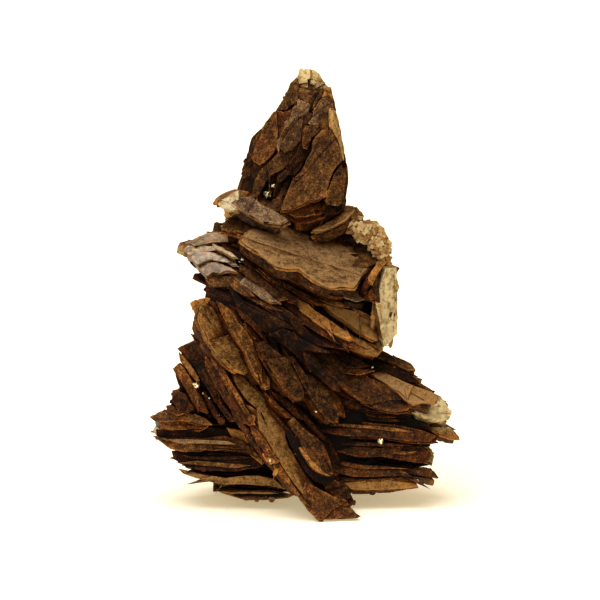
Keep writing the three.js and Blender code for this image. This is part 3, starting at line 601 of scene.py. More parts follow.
          -19.3, 8.2, -16.5, 8.7, -13.5, 8.4, -10.5, 8.1, -7.9, 7.8, -10.3, 7.5, -13.9, 7.8, -16.9, 8.1)),
        "band_mid": (0.7, -5, 18, 0.8, 0.95, 0.1, 0, (
          -18.9, 7.3, -16.9, 6.8, -14.8, 6.5, -12, 6.1, -9, 6.3, -6.5, 6.3, -4.5, 5.7, -2.9, 4.3, -5.5, 4.8,
          -9, 5.1, -12.4, 5.1, -14.5, 5.5, -16.5, 6, -18, 6.5)),
        "line_low": (0.35, -5, 15, 0.25, 1.1, 0.1, 0, (
          -13, 4, -10.9, 3.9, -8.2, 3.9, -5.5, 3.8, -3.8, 3.6, -5.5, 3.5, -8.2, 3.5, -11.2, 3.6)),
        "band_low": (0, -5, 8, 0.6, 0.9, 0.1, 0, (
          -13.3, 4, -10.9, 4, -8.2, 4, -5.2, 4, -3, 3.7, -1.6, 3.3, -2.5, 2.9, -4.5, 2.7, -6.5, 2.5, -9, 2.4,
          -10.3, 2.9, -11.8, 3.4)),
    },
    "right_fan_plates": {
        "line_sixth": (0.5, 5, 20, 0.3, 0.6, 0.5, 0, (
          5.2, 6, 8.2, 5.7, 11.5, 5.7, 14.2, 6, 12.2, 5.2, 8.5, 5.1, 6.1, 5.4)),
        "line_fifth": (0.5, 5, 20, 0.3, 0.5, 0.7, 0, (
          3.1, 9, 6, 8.5, 9.4, 7.9, 13, 7.5, 15.8, 7.3, 12.8, 7.2, 8.8, 7.3, 5.5, 7.9)),
        "line_fourth": (0.5, 5, 20, 0.3, 0.35, 0.6, 0, (
          1.6, 11.7, 5.2, 11.7, 9, 11.4, 13, 11.1, 16.1, 10.9, 12.8, 10.7, 8.5, 10.8, 4.6, 11.1)),
        "line_third": (0.8, 5, 20, 0.3, 0.7, 0.6, 0, (
          2.5, 13.9, 6, 14.1, 9.8, 13.9, 13.5, 13.5, 16.1, 13, 13, 13, 9.2, 13.5, 5.5, 13.7)),
        "line_second": (0.4, 8, 20, 0.3, 0.4, 0.7, 0, (
          1.9, 17.4, 4.6, 16.8, 7.6, 16.2, 10.9, 15.6, 13.9, 15, 11.2, 15, 7.6, 15.6, 4, 16.3)),
        "line_first": (0.5, 8, 20, 0.3, 0.45, 0.8, 0, (
          3.8, 19.5, 6.1, 18.9, 8.5, 18, 11.2, 16.9, 13, 16.1, 10.9, 16.3, 8.2, 17.2, 5.5, 18.3)),
        "roof_high": (0.3, 20, 50, 0.8, 0.5, 0.1, 0, (
          10.7, 25.6, 12.4, 24.8, 14.2, 23.8, 16.1, 22.9, 16.8, 21.9, 15.4, 21.9, 13.7, 22.5, 11.8, 23.4,
          10.3, 24.3)),
        # Painted shade: a dark plate where a shadowed gap is seen.
        "roof_dark": (0, 20, 40, 0.8, -0.1, 0.4, 0, (
          7, 24.9, 9.4, 24.1, 11.8, 23.1, 14.2, 22.1, 16.1, 21.1, 17.2, 20.2, 15.4, 20.2, 13, 21.1,
          10.3, 22.1, 7.9, 23.1)),
        "roof_low": (0.4, 20, 45, 0.4, 0.7, 0.3, 0, (
          13.9, 21.8, 15.8, 21.4, 17.8, 20.7, 17.4, 20.1, 16.1, 20.6, 14.5, 21)),
        "dark_left": (0.2, 15, 35, 0.8, 0.1, 0.5, 0, (
          2.2, 26.1, 4.6, 25.3, 7, 24.3, 9.8, 22.8, 7.6, 22.5, 5.2, 22.6, 3.1, 23.4)),
        "band_top": (0.5, 15, 45, 0.4, 0.45, 0.6, 0, (
          3.1, 22.8, 6, 22.6, 8.5, 22.5, 10.5, 22.1, 8.2, 21.6, 5.5, 21.8, 3.6, 22.1)),
        "tan_top": (2, 10, 52, 0.9, 1.1, -0.1, 0, (
          8.7, 22.2, 10.5, 22.2, 12.2, 21.4, 13.9, 20.7, 15.8, 19.9, 17.6, 19.3, 19.1, 18.8, 20.2, 18,
          19.6, 17.2, 17.8, 17.4, 16.1, 17.2, 14.8, 18, 13.7, 18.9, 12.3, 19.8, 10.7, 20.8)),
        "brown_face": (0.3, 12, 32, 0.9, 0.35, 0.5, 0, (
          3.4, 22.1, 6, 21.8, 8.4, 21.8, 10.3, 20.8, 12.2, 19.8, 13.8, 18.8, 15.4, 17.8, 16.6, 16.9,
          15.4, 16.1, 13.7, 15.9, 11.2, 16.3, 8.8, 17.2, 6.8, 18.4, 4.8, 19.9)),
        "low_face": (0.3, 8, 20, 0.8, 0.1, 0.6, 0, (
          0.8, 20.7, 3.1, 20.4, 5.2, 19.8, 7.3, 18.8, 9.4, 17.7, 11.8, 16.6, 13.3, 15.8, 10.7, 15.8,
          7.6, 16.2, 5, 17.1, 2.5, 18.6)),
        # Painted shade: a dark plate where a shadowed gap is seen.
        "dark_belt": (-0.2, 5, 15, 0.8, -0.1, 0.5, 0, (
          1.9, 18.4, 4.3, 17.8, 6.8, 17.1, 9.2, 16.3, 12.2, 15.8, 15.1, 15.3, 18.1, 14.1, 19.3, 13.3,
          16.1, 13.3, 12.4, 13.7, 8.5, 13.9, 5, 14.4, 2.9, 15.9)),
        "belt_line": (0, 5, 20, 0.4, 0.3, 0.6, 0, (
          2.5, 16.5, 6, 16.1, 9, 15.6, 12, 15, 15, 14.5, 12.4, 14.4, 8.8, 14.7, 5.5, 15)),
        "tip_high": (0.6, 5, 30, 0.8, 0.75, 0.5, 0, (
          18.1, 13.7, 19.9, 14.2, 21.3, 14.1, 22.3, 13.2, 23.1, 12.2, 23.2, 11.7, 21.8, 11.7, 20.2, 12.2,
          19.1, 12.9)),
        "band_high": (0.6, 5, 22, 0.9, 0.3, 0.8, 0, (
          1.1, 14.1, 3, 14.4, 6, 14.5, 8.5, 14.5, 11.2, 14.2, 14.2, 13.9, 17.2, 13.3, 19.8, 12.3, 18.8, 11.5,
          15.8, 11.5, 12, 12, 8.2, 12.2, 4.5, 12.4, 1.9, 12.9)),
        # Painted shade: a dark plate where a shadowed gap is seen.
        "dark_line": (-0.4, 5, 20, 0.8, -0.1, 0.5, 0, (
          1.1, 12.3, 4.5, 12.3, 8.2, 12.2, 12, 11.8, 15.8, 11.5, 19.1, 11.5, 18.8, 10.7, 15, 10.5,
          10.5, 10.3, 6.5, 10.3, 3, 10.7)),
        "band_mid": (0.6, 5, 15, 1, 0.24, 0.75, 0, (
          1.9, 10.9, 5.2, 10.8, 8.2, 10.7, 11.2, 10.5, 14.2, 10.7, 17.2, 10.8, 18.8, 10.3, 18.9, 9.2,
          18.4, 8.2, 16.5, 8.4, 14.2, 8.7, 11.2, 9, 7.9, 9.2, 5, 9.8, 2.9, 10.2)),
        "band_mid_line": (0.8, 5, 25, 0.3, 0.75, 0.5, 0, (
          7, 10.3, 10, 10, 13.5, 10, 16.9, 10, 15, 9.6, 11.2, 9.6, 8.2, 9.8)),
        "band_end": (0.8, 20, 30, 0.7, 0.8, 0.3, 0.5, (
          17.2, 10.7, 18.4, 10.8, 19.2, 10.2, 19.5, 9.2, 19.3, 8.2, 18.1, 8.5, 17.6, 9.4)),
        # Painted shade: a dark plate where a shadowed gap is seen.
        "dark_mid": (-0.3, 5, 15, 0.8, -0.2, 0.5, 0, (
          1.9, 10.2, 4.5, 9.6, 7, 9, 9.8, 8.4, 13.5, 7.8, 17.2, 7.6, 14.5, 7, 10.5, 7.2, 6.8, 7.6,
          3.8, 8.4)),
        "band_low": (0.6, 5, 18, 0.9, 0.42, 0.65, 0, (
          2.2, 8.2, 4.6, 8.1, 7.5, 7.8, 10.5, 7.2, 13.5, 7, 16.1, 7.2, 18, 7.6, 19.1, 7.3, 20.1, 5.8,
          18.1, 6.1, 16.1, 6.5, 13.5, 6.1, 10.5, 6, 7, 6.1, 4.3, 6.8)),
        "band_low_tip": (0.8, 10, 40, 0.4, 0.9, 0.3, 0.5, (
          16.9, 7.2, 18.3, 7.5, 19.1, 7.2, 20.1, 5.8, 18.8, 6.1, 17.4, 6.5)),
        # Painted shade: a dark plate where a shadowed gap is seen.
        "dark_low": (-0.3, 5, 15, 0.7, -0.2, 0.5, 0, (
          5, 6.8, 8.2, 6.1, 12, 5.8, 15.8, 6.1, 13.9, 5.4, 9.8, 5.4, 6.1, 5.7)),
        "lowest": (0.6, 5, 15, 0.9, 1, 0.6, 0, (
          5.7, 5.1, 8.5, 5.4, 11.2, 5.5, 13.9, 5.8, 15.9, 6.5, 16.5, 5.5, 17.1, 4.5, 15, 4.2, 12, 4, 9, 4,
          6.6, 4.2)),
        "under": (0, 5, -20, 0.5, 0.5, 0.1, 0, (
          6.5, 4, 9.8, 4.2, 13.5, 4, 15.9, 4.2, 13, 3.6, 9.2, 3.4, 7, 3.4)),
    },
    "shoulder_edges": {
        "line_low_third": (0.4, -5, 25, 0.3, 0.3, 0.8, 0, (
          -2.2, 29.7, 0.1, 28.5, 2.5, 27.3, 5, 26.2, 7, 25.3, 4.6, 25.6, 1.9, 26.7, -0.4, 28.1)),
        "line_low_second": (0.4, -5, 25, 0.3, 0.35, 0.6, 0, (
          -10.3, 33, -7.9, 31.9, -5.5, 30.8, -3.1, 29.4, -1.1, 28.1, -3.1, 28.6, -5.8, 30.1, -8.5, 31.6)),
        "line_low_first": (0.5, -5, 25, 0.3, 0.5, 0.5, 0, (
          -10.9, 34.5, -8.8, 33.6, -6.8, 32.7, -5, 31.8, -3.1, 30.9, -5.2, 31.3, -7.3, 32.2, -9.4, 33.1)),
        "band_high": (0.35, 25, 40, 0.5, 0.3, 0.5, 0, (
          -6.5, 38.5, -4.5, 37.5, -2.2, 37, -0.3, 36.3, 1.3, 35.2, 2.9, 34.4, 4.6, 33.6, 6, 33, 4.3, 33.1,
          2.2, 33.8, 0.1, 34.8, -2.2, 35.9, -4.6, 36.9)),
        "band_mid": (0.3, 20, 30, 0.5, 0.35, 0.6, 0, (
          -7, 37.5, -5, 36.4, -2.9, 35.2, -0.8, 34, 1.3, 32.9, 3.4, 31.8, 1.9, 31.9, -0.4, 33.1, -2.9, 34.4,
          -5.2, 35.7)),
        "lamina_long": (0.6, 20, 40, 0.35, 0.9, 0.5, 0, (
          1.3, 33.8, 3.1, 33.1, 5, 32.4, 7, 31.9, 6.8, 31.5, 4.6, 31.8, 2.9, 32.4, 1.3, 33.1)),
        "orange_rim": (0.9, -5, 35, 0.8, 1, 1, 0, (
          -4.2, 35.2, -2.9, 34.6, -1.2, 33, 0, 32.2, 1.3, 31.2, 2.7, 30.3, 4.2, 29.4, 5.7, 28.2, 7.2, 27,
          6.5, 26.7, 4.6, 27.4, 2.9, 28.3, 1.1, 29.4, -0.8, 30.9, -2.2, 32.4, -3.4, 33.8)),
        "red_plate": (0.5, -5, 25, 0.8, 0.3, 0.85, 0, (
          -3.8, 33.9, -2.2, 32.5, -0.8, 31, 1.2, 29.4, 3.1, 28.2, 5.2, 27.1, 7.6, 26.2, 9.2, 25.5, 6.8, 25.5,
          4.3, 26.4, 1.9, 27.6, -0.4, 29.1, -2.5, 31, -4, 32.7)),
        "red_line": (0.8, -5, 30, 0.35, 0.6, 0.9, 0, (
          -0.8, 29.5, 1.3, 28.5, 3.8, 27.3, 6.5, 26.1, 6.1, 25.8, 3.4, 26.7, 1.1, 27.9)),
        "over_grey": (0.4, -5, 30, 0.6, 0.4, 0.5, 0, (
          -9.8, 38.1, -8.5, 37.5, -7, 36.4, -5.5, 35.2, -4, 34, -2.5, 32.7, -3.8, 32.4, -5.2, 33.6,
          -6.8, 34.8, -8.5, 36.1, -9.8, 37.2)),
        "streak_mid": (0.25, 0, 30, 0.5, 0.25, 0.7, 0, (
          -8.8, 38.4, -7, 37.2, -5.2, 35.9, -3.4, 34.5, -1.9, 33.3, -0.8, 32.1, -2.2, 32.5, -4.3, 34,
          -6.5, 35.5, -8.5, 37.2)),
        "under_clump": (0.1, -10, 20, 0.8, 0.1, 0.6, 0, (
          -13.9, 34.8, -12.4, 34.2, -10.3, 33.4, -8.2, 32.7, -6.1, 31.3, -4.3, 30, -6.5, 30.3, -8.8, 31.3,
          -11.2, 32.4, -13, 33.3)),
        "low_band_high": (0.3, -5, 20, 0.8, 0.3, 0.6, 0, (
          -8.8, 33.9, -7, 33.3, -5.2, 32.4, -3.4, 31.6, -1.6, 30.4, 0.1, 28.9, -1.3, 28.8, -3.8, 30,
          -5.8, 31.2, -7.9, 32.5)),
        "low_band_low": (0.1, -5, 15, 0.8, 0.15, 0.6, 0, (
          -6.5, 31.3, -4.3, 30.3, -2.2, 29.1, -0.1, 27.9, 2.2, 26.7, 4.6, 25.6, 1.9, 25.8, -0.8, 27,
          -3.1, 28.2, -5.2, 29.7)),
        # Painted shade: a dark plate where a shadowed gap is seen.
        "lowest": (0, -5, 15, 0.9, 0, 0.5, 0, (
          -14.7, 34.5, -10.5, 32.9, -5.2, 30, -0.8, 27, 3.9, 24.8, -0.8, 25.1, -6.5, 28.1, -11.2, 30.8,
          -15, 33)),
        "upper_band": (0.3, -10, 45, 0.6, 0.3, 0.6, 0, (
          -9.8, 41.2, -8.5, 40.5, -7.2, 39.8, -5.7, 38.5, -4, 37.5, -2.5, 36.9, -4.3, 36.9, -6.5, 37.9,
          -8.2, 39.1, -9.6, 40.2)),
        "upper_band_low": (0.15, -10, 40, 0.6, 0.15, 0.6, 0, (
          -12.4, 40.8, -10.7, 40.2, -8.8, 39.3, -6.8, 37.9, -5, 36.8, -6.8, 37, -8.7, 37.9, -10.7, 39.1,
          -12.2, 40)),
        # Painted shade: a dark plate where a shadowed gap is seen.
        "gap_plate": (-0.9, 5, 15, 0.8, -0.40, 0.50, 0, (
          -0.8, 34, 2.2, 32.1, 5, 29.4, 7.6, 27.3, 6, 27.6, 2.5, 30, -0.3, 32.1)),
    },
    "leaf_rims": {
        "rim_high": (0.5, -5, 10, 0.7, 0.7, 0.95, 0, (
          -14.1, 25.2, -13, 23.8, -12, 22.3, -11.1, 20.8, -10, 19.1, -9.2, 17.4, -8.2, 15.8, -7.3, 14.1,
          -8.1, 14.1, -9, 15.3, -10, 16.9, -11.1, 18.6, -12.3, 20.6, -13.5, 22.6, -14.2, 24.1)),
        "rough_high": (0.2, -10, 12, 0.8, 0.35, 0.9, 0, (
          -14.8, 24.6, -13.9, 23.4, -12.9, 21.6, -11.7, 19.6, -10.5, 17.7, -9.3, 15.8, -8.2, 14.1,
          -9.4, 14.4, -10.8, 16.2, -12.2, 18, -13.3, 19.8, -14.2, 21.6, -14.8, 23.1)),
        "rim_mid": (0.4, -5, 10, 0.8, 0.6, 0.95, 0, (
          -8.4, 14.7, -7.2, 13.5, -6, 12, -5, 10.3, -3.8, 8.5, -4.5, 8.2, -5.5, 8.5, -6.1, 9.3, -6.3, 10.3,
          -7.2, 11.5, -7.9, 12.9)),
        "rim_lump": (0.6, -5, 15, 0.6, 0.9, 0.9, 0, (
          -6.5, 9.9, -5.5, 10.2, -4.8, 9.4, -4.3, 8.5, -5.1, 8.1, -6, 8.7)),
        "rim_low": (0, -5, 10, 0.8, 0.65, 0.9, 0, (
          -5.2, 8.8, -3.9, 8.4, -2.7, 6.6, -1.5, 4.8, -0.4, 3.3, 0.8, 1.9, -0.1, 2.4, -1.3, 3.6, -2.5, 4.8,
          -3.8, 6.5, -4.6, 7.5)),
        "pointed_rim": (0.6, 0, 20, 0.4, 0.9, 0.8, 0, (
          -1.3, 12.3, -0.4, 10.8, 0.4, 9.3, 1.3, 8.1, 2.5, 7.3, 3.6, 6.6, 2.2, 7, 0.9, 7.8, -0.1, 9.2,
          -1.1, 10.8)),
        "thin_red": (0.1, 20, 20, 0.4, 0.32, 0.8, 0, (
          -0.8, 16.2, 0.1, 15.6, 1.1, 14.4, 1.9, 13.2, 3.1, 12, 2.2, 12.2, 1.1, 13.2, 0, 14.5)),
        "fine_left": (0.5, 25, 22, 0.35, 0.5, 0.7, 0, (
          -5.8, 18.9, -5, 18.3, -3.8, 16.9, -2.5, 15.9, -1.6, 15, -2.7, 15.1, -4, 16.3, -5.2, 17.6)),
        "fine_right": (0.3, 25, 22, 0.35, 0.35, 0.7, 0, (
          -5, 19.2, -3.8, 18.6, -2.2, 17.4, -0.8, 15.9, 0.1, 14.7, -1.1, 15.1, -2.5, 16.3, -4, 17.7)),
    },
}

# The lumps under the crust at the right of the shoulder, middle and radii, and how many crystals a
# square metre of them carries.
CRUST_LUMPS = [
    ((7.4, 1.2, 42.2), (1.9, 1.9, 1.3)),
    ((9.6, 0.0, 41.6), (1.9, 1.8, 1.5)),
    ((11.2, -0.6, 39.8), (1.3, 1.7, 1.6)),
    ((11.8, 0.6, 38.0), (0.9, 1.8, 1.6)),
]
CRUST_DENSITY = 2.6e6

# The range of each attribute that differs from one crust crystal to the next, what the others are,
# and how many corners a crystal has.
CRUST_RANGES = {"tone": (0.9, 1.7), "red": (0.0, 0.8), "pale": (0.0, 1.0)}
# The crust crystals' open share is fixed, so the painted crevice shade darkens them evenly and only a
# little.
CRUST_VALUES = {"rust": 0.5, "open": 0.8}
RHOMB_CORNERS = 8

# What is scattered: its shape, the attribute that says where, the smallest crystal as a share of the
# largest, how far the crystals tilt in radians, and the number that its random draws start from.
SCATTERS = {
    "crust_crystals": ("rhomb", "where", 0.35, 6.0, 5),
    "rust_crumbs": ("crumb", "rust", 0.35, 6.0, 11),
    "loose_flakes": ("flake", "open", 0.3, 0.3, 12),
}
PER_SQUARE_MM = 1 / MM**2

# The shapes of the crystals that are scattered: half size 1, so that a radius scales them.
GRAINS = {
    "flake": ("GeometryNodeMeshCylinder", {"Vertices": 6, "Radius": 1.0, "Depth": 0.28}),
    "rhomb": ("GeometryNodeMeshCube", {"Size": (2.0, 1.7, 0.9)}),
    "crumb": ("GeometryNodeMeshIcoSphere", {"Radius": 1.0, "Subdivisions": 1}),
}

# A pyrite crystal is a cube of half width 1 with a roof over each face: the height of the roof's
# ridge over the middle, half its length, and what the crystal counts as reaching.
RIDGE_HEIGHT = 1.35
RIDGE_HALF = 0.55
CRYSTAL_REACH = 1.5

# Shares of a pyrite cluster's radius: its main crystal, its side crystals, and how far these stand
# from the middle. A cluster's radius is its node's box diagonal over BOX_DIAGONAL.
MAIN_CRYSTAL = 0.86
SIDE_CRYSTALS = (0.4, 0.62)
SIDE_DISTANCE = 0.62
BOX_DIAGONAL = 3.4
CLUSTER_CRYSTALS = 5
SPECK_CRYSTALS = 2

# The tiny pyrite specks: across and up in the camera's view, and radius.
PYRITE_SPECKS = [
    (-15.3, 18.6, 0.22),
    (-14.3, 17.9, 0.2),
    (10.1, 22.5, 0.25),
    (1.7, 16.0, 0.2),
    (-5.2, 8.8, 0.3),
    (12.2, 26.0, 0.3),
    (11.6, 25.4, 0.25),
]

# Streaks in a millimetre along, across and through a plate. Real layering is finer than 0.1 mm, too
# fine to show, so the streaks are drawn coarser.
LAYERING = (0.35, 1.4, 8.0)

# Millimetres for one unit of the wave texture, whose waves lie 0.31 of a unit apart. The growth
# lines on pyrite are about 0.1 mm apart, too fine to show, so they are drawn about 0.6 mm apart.
GROWTH_LINES = 2.0

# The refraction of siderite, and how much it shines where it is weathered and fresh.
SIDERITE_IOR = 1.75
WEATHERED_SHINE = 0.035
FRESH_SHINE = 0.25

# The soft suns: degrees to the right, degrees above the floor, and degrees across. Then the paper
# and the surroundings.
SUNS = {"key_light": (-25, 68, 45), "fill_light": (-15, 25, 40)}
PAPER_COLOUR = "#fff9ec"
PAPER_GLOW_COLOUR = "#ffe9b4"
PAPER_GLOW = 0.42
PAPER_ROUGHNESS = 0.9
SKY_COLOUR = "#fff3dd"

PIECES = {*FANS, *FRONT_PLATES, "hearts", "crust_lumps"}


def hashed(x, y, z, seed):
    """The same number between -1 and 1 for a whole-number place every time."""
    n = (x * 73856093) ^ (y * 19349663) ^ (z * 83492791) ^ (seed * 40503 + 12345)
    n = n & 0xFFFFFFFF
    n = ((n ^ (n >> 13)) * 1274126177) & 0xFFFFFFFF
    n = ((n ^ (n >> 15)) * 668265263) & 0xFFFFFFFF
    return ((n >> 8) & 0xFFFF) / 32767.5 - 1.0


def noise(points, size, seed):
    """Smooth noise between -1 and 1 at each point, with features of that size."""
    scaled = np.asarray(points, float) / size
    cell = np.floor(scaled).astype(np.int64)
    share = scaled - cell
    share = share * share * (3 - 2 * share)
    total = 0.0
    for corner in range(8):
        step = np.array([corner & 1, corner >> 1 & 1, corner >> 2 & 1])
        weight = np.prod(np.where(step, share, 1 - share), axis=-1)
        place = cell + step
        total = total + weight * hashed(place[..., 0], place[..., 1], place[..., 2], seed)
    return total


def walked(corner, step):
    """An outline's corners joined by close points, with each point's share of its own side."""
    corner = np.vstack([corner, corner[:1]])
    run = np.concatenate([[0], np.cumsum(np.linalg.norm(np.diff(corner, axis=0), axis=1))])
    amount = int(np.clip(run[-1] / step, *OUTLINE_POINTS))
    at = np.arange(amount) * run[-1] / amount
    at = np.unique(np.concatenate([at, run[:-1]]))
    edge = np.stack([np.interp(at, run, corner[:, i]) for i in (0, 1)], axis=1)
    part = np.searchsorted(run, at, side="right") - 1
    return edge, (at - run[part]) / np.maximum(run[part + 1] - run[part], 1e-6)


def broken_off(edge, away, share):
    """The outline with all that lies beyond a straight break brought back to the break."""
    reach = (edge @ away).max()
    beyond = np.maximum(edge @ away - reach * share, 0)
    return edge - beyond[:, None] * away


def chipped(edge, chip, seed):
    """The outline with bites, chips and a fine ragged edge."""
    flat = np.column_stack([edge, np.full(len(edge), seed % 97)])
    bites = np.clip((noise(flat, BITE, seed + 1) - 0.35) * 8, 0, 1) * chip * 1.6
    chips = chip * np.abs(noise(flat, CHIP, seed + 2))
    chips = chips + 0.6 * chip * np.abs(noise(flat, RAGGED, seed + 3))
    size = np.linalg.norm(edge, axis=1)
    return edge * (1 - np.minimum((bites + chips) / np.maximum(size, 0.5), 0.35))[:, None]


def lens_outline(length, width, habit, chip, random, seed):
    """The outline of a lens-shaped plate with broken corners and a chipped edge."""
    count, pointed, turned = HABITS[habit]
    step = 2 * math.pi / count
    turn = (np.arange(count) + turned + random.uniform(-0.2, 0.2, count)) * step
    reach = random.uniform(*CORNER_REACH, count) / math.cos(turned * step)
    corner = np.stack(
        [
            np.sign(np.cos(turn)) * np.abs(np.cos(turn)) ** pointed * length / 2,
            np.sign(np.sin(turn)) * np.abs(np.sin(turn)) ** pointed * width / 2,
        ],
        axis=1,
    ) * reach[:, None]
    edge, share = walked(corner, FAN_STEP)
    edge *= (1 + BULGE * (1 - math.cos(step / 2)) * 4 * share * (1 - share))[:, None]
    for _ in range(random.integers(0, 3)):
        angle = random.uniform(0, 2 * math.pi)
        away = np.array([math.cos(angle), math.sin(angle)])
        edge = broken_off(edge, away, random.uniform(*BREAKS))
    return chipped(edge, chip, seed)


def side(edge, thick, look, random, seed):
    """One side of a lamina from its middle to its rim: rings of points, their heights with and
    without relief, how far they bow, and how rusty each is."""
    rim = RIMS[look["rim"]]
    first = rim[0][0]
    count = len(edge)
    around = np.column_stack([edge, np.full(count, seed % 50)])
    shares = []
    heights = []
    rust = []

    def ring(share, height, worn):
        shares.append(np.broadcast_to(share, count))
        heights.append(np.full(count, height))
        rust.append(np.full(count, worn))

    level = 1.0
    steps = []
    if look["terrace"] > 0:
        for i, (at, wide, long, fine, short) in enumerate(TERRACES):
            wander = at + wide * noise(around, long, seed + 5 + 2 * i)
            steps.append(first * (wander + fine * noise(around, short, seed + 6 + 2 * i)))
    for reach in np.linspace(0.12, 0.45 if steps else first * 0.9, look["rings"]):
        ring(reach, level, 0.0)
    for step in steps:
        ring(step - 0.012, level, 0.4)
        level -= random.uniform(0.2, 1.0) * look["terrace"]
        ring(step + 0.006, level, 0.15)
        ring(step + 0.04, level, 0.05)
    for (reach, height), worn in zip(rim, (0.2, 0.5, 0.85, 1.0)):
        ring(reach, level * height, worn)
    flat = np.array(shares)[:, :, None] * edge[None]
    spots = np.concatenate([flat, np.full(flat.shape[:2] + (1,), seed % 50)], axis=2)
    relief = 0.0
    for i, (size, part) in enumerate(RELIEFS if look["rings"] > FINE_RINGS else RELIEFS[:2]):
        relief = relief + part * noise(spots, size, seed + 9 + i)
    fade = 1 - np.clip((np.array(shares) - 0.8) / 0.2, 0, 1) * 0.6
    level = np.array(heights) * thick / 2
    height = level + look["relief"] * relief * fade
    along = flat[:, :, 0] / max(np.abs(edge[:, 0]).max(), 0.1)
    return flat, height, level, look["bow"] * (1 - along**2), np.array(rust)


def lamina(edge, thick, look, random, seed):
    """One lamina lying flat: corners, triangles, rust, and its own coordinates for its layering."""
    count = len(edge)
    corners = []
    rust = []
    layering = []
    triangles = []
    for sign in (1, -1):
        flat, height, level, lift, worn = side(edge, thick, look, random, seed + (sign > 0) * 40)
        first = sum(len(part) for part in corners)
        middle = np.array([[0, 0, sign * height[0].mean() + lift[0].mean()]])
        ringed = np.concatenate([flat, (sign * height + lift)[:, :, None]], axis=2).reshape(-1, 3)
        corners += [middle, ringed]
        rust += [np.zeros(1), worn.reshape(-1)]
        own = np.concatenate([flat, (sign * level)[:, :, None]], axis=2).reshape(-1, 3)
        layering += [np.array([[0, 0, sign * thick / 2]]), own]
        k = np.arange(count)
        after = (k + 1) % count
        start = first + 1
        fill = [np.column_stack([np.full(count, first), start + k, start + after])]
        for ring in range(flat.shape[0] - 1):
            a = start + ring * count + k
            b = start + ring * count + after
            fill += [np.column_stack([a, a + count, b + count]), np.column_stack([a, b + count, b])]
        found = np.concatenate(fill)
        triangles.append(found if sign > 0 else found[:, ::-1])
    rim_top = 1 + (flat.shape[0] - 1) * count
    rim_low = rim_top + 1 + flat.shape[0] * count
    triangles.append(np.column_stack([rim_top + k, rim_low + k, rim_low + after]))
    triangles.append(np.column_stack([rim_top + k, rim_low + after, rim_top + after]))
    return (
        np.concatenate(corners),
        np.concatenate(triangles),
        np.concatenate(rust),
        np.concatenate(layering),
    )


def tilted(points, random, most):
    """Points turned a little about the middle, as a lamina that parts from its neighbours."""
    turn = [math.radians(random.uniform(-1, 1) * size) for size in most]
    return points @ np.array(Euler(turn).to_matrix()).T


def varied(value, random, most):
    """A share changed at random; below 0 it stands for a face that no light reaches."""
    return float(np.clip(value + random.uniform(-most, most), *TONES))


def book(row, depth, face, fan, chip, seed):
    """The laminae of one lens-shaped plate: each a little shorter than it, and parted from the next."""
    random = np.random.default_rng(seed)
    x1, z1, x2, z2, width = row
    along = np.array([x2 - x1, 0, z2 - z1])
    length = np.linalg.norm(along)
    along = along / length
    back = np.array([0.0, 1.0, 0.0])
    lean = math.radians(face)
    across = back * math.cos(lean) + np.cross(along, back) * math.sin(lean)
    axes = np.array([along, across, np.cross(along, across)])
    middle = np.array([(x1 + x2) / 2, depth, (z1 + z2) / 2])
    layers = fan["layers"]
    shares = random.dirichlet(np.full(layers, 2.5)) * 0.75 + 0.25 / layers
    whole = int(np.argmax(shares))
    low = -fan["thick"] / 2
    tone = varied(fan["tone"], random, 0.25)
    look = dict(FAN_LOOK, rim=fan.get("rim", "blunt"), terrace=fan.get("terrace", 0.2))
    made = []
    for layer, share in enumerate(shares):
        own = fan["thick"] * share
        short = 0.0 if layer == whole else random.uniform(*SHORTER)
        narrow = 1.0 if layer == whole else random.uniform(*NARROWER)
        shape = seed * 31 + layer
        edge = lens_outline(length - short, width * narrow, fan["habit"], chip, random, shape)
        flat, triangles, rust, layering = lamina(edge, own, look, random, seed * 31 + layer * 7)
        flat = tilted(flat, random, (*TILTS[:2], 0.0 if layer == whole else TILTS[2]))
        shift = np.array([random.uniform(-0.5, 0.5) * short, random.uniform(-0.4, 0.4), low + own / 2])
        low += own
        points = middle + (flat + shift) @ axes
        made.append((points, triangles, rust, layering, varied(tone, random, 0.12),
                     varied(fan["red"], random, 0.3), 0.0))
    return made


def fan_laminae(name, sizes, seed):
    """All the laminae of a fan, standing a little behind the plates that face the front."""
    fan = FANS[name]
    rows = fan["plates"]
    chip = sizes.chip / MM
    recess = 0.0 if name.startswith("back") else sizes.recess / MM
    made = []
    for i, row in enumerate(rows):
        share = i / max(len(rows) - 1, 1)
        depth = fan["depth"][0] + (fan["depth"][1] - fan["depth"][0]) * share
        face = fan["face"][0] + (fan["face"][1] - fan["face"][0]) * share
        into = fan.get("into", (0, 0))
        row = (row[0] + into[0], row[1], row[2] + into[1], row[3], row[4] - recess * 0.8)
        made += book(row, depth + recess * 0.6, face, fan, chip, seed + i)
    return made


def solid_tree():
    """The CAD solid of the siderite, for rays, in the layout's millimetres."""
    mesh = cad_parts["siderite"].data
    corners = corners_of(mesh) / MM + LAYOUT_MIDDLE
    return BVHTree.FromPolygons(corners.tolist(), [list(face.vertices) for face in mesh.polygons])


def seen_at(across, up, solid):
    """Where the solid is seen at a place in the camera's view, or None beside it."""
    start = (across, RAY_START, (up - VIEW_IN * (RAY_START - VIEW_LEVEL)) / VIEW_UP)
    return solid.ray_cast(start, (0.0, VIEW_UP, -VIEW_IN))[0]


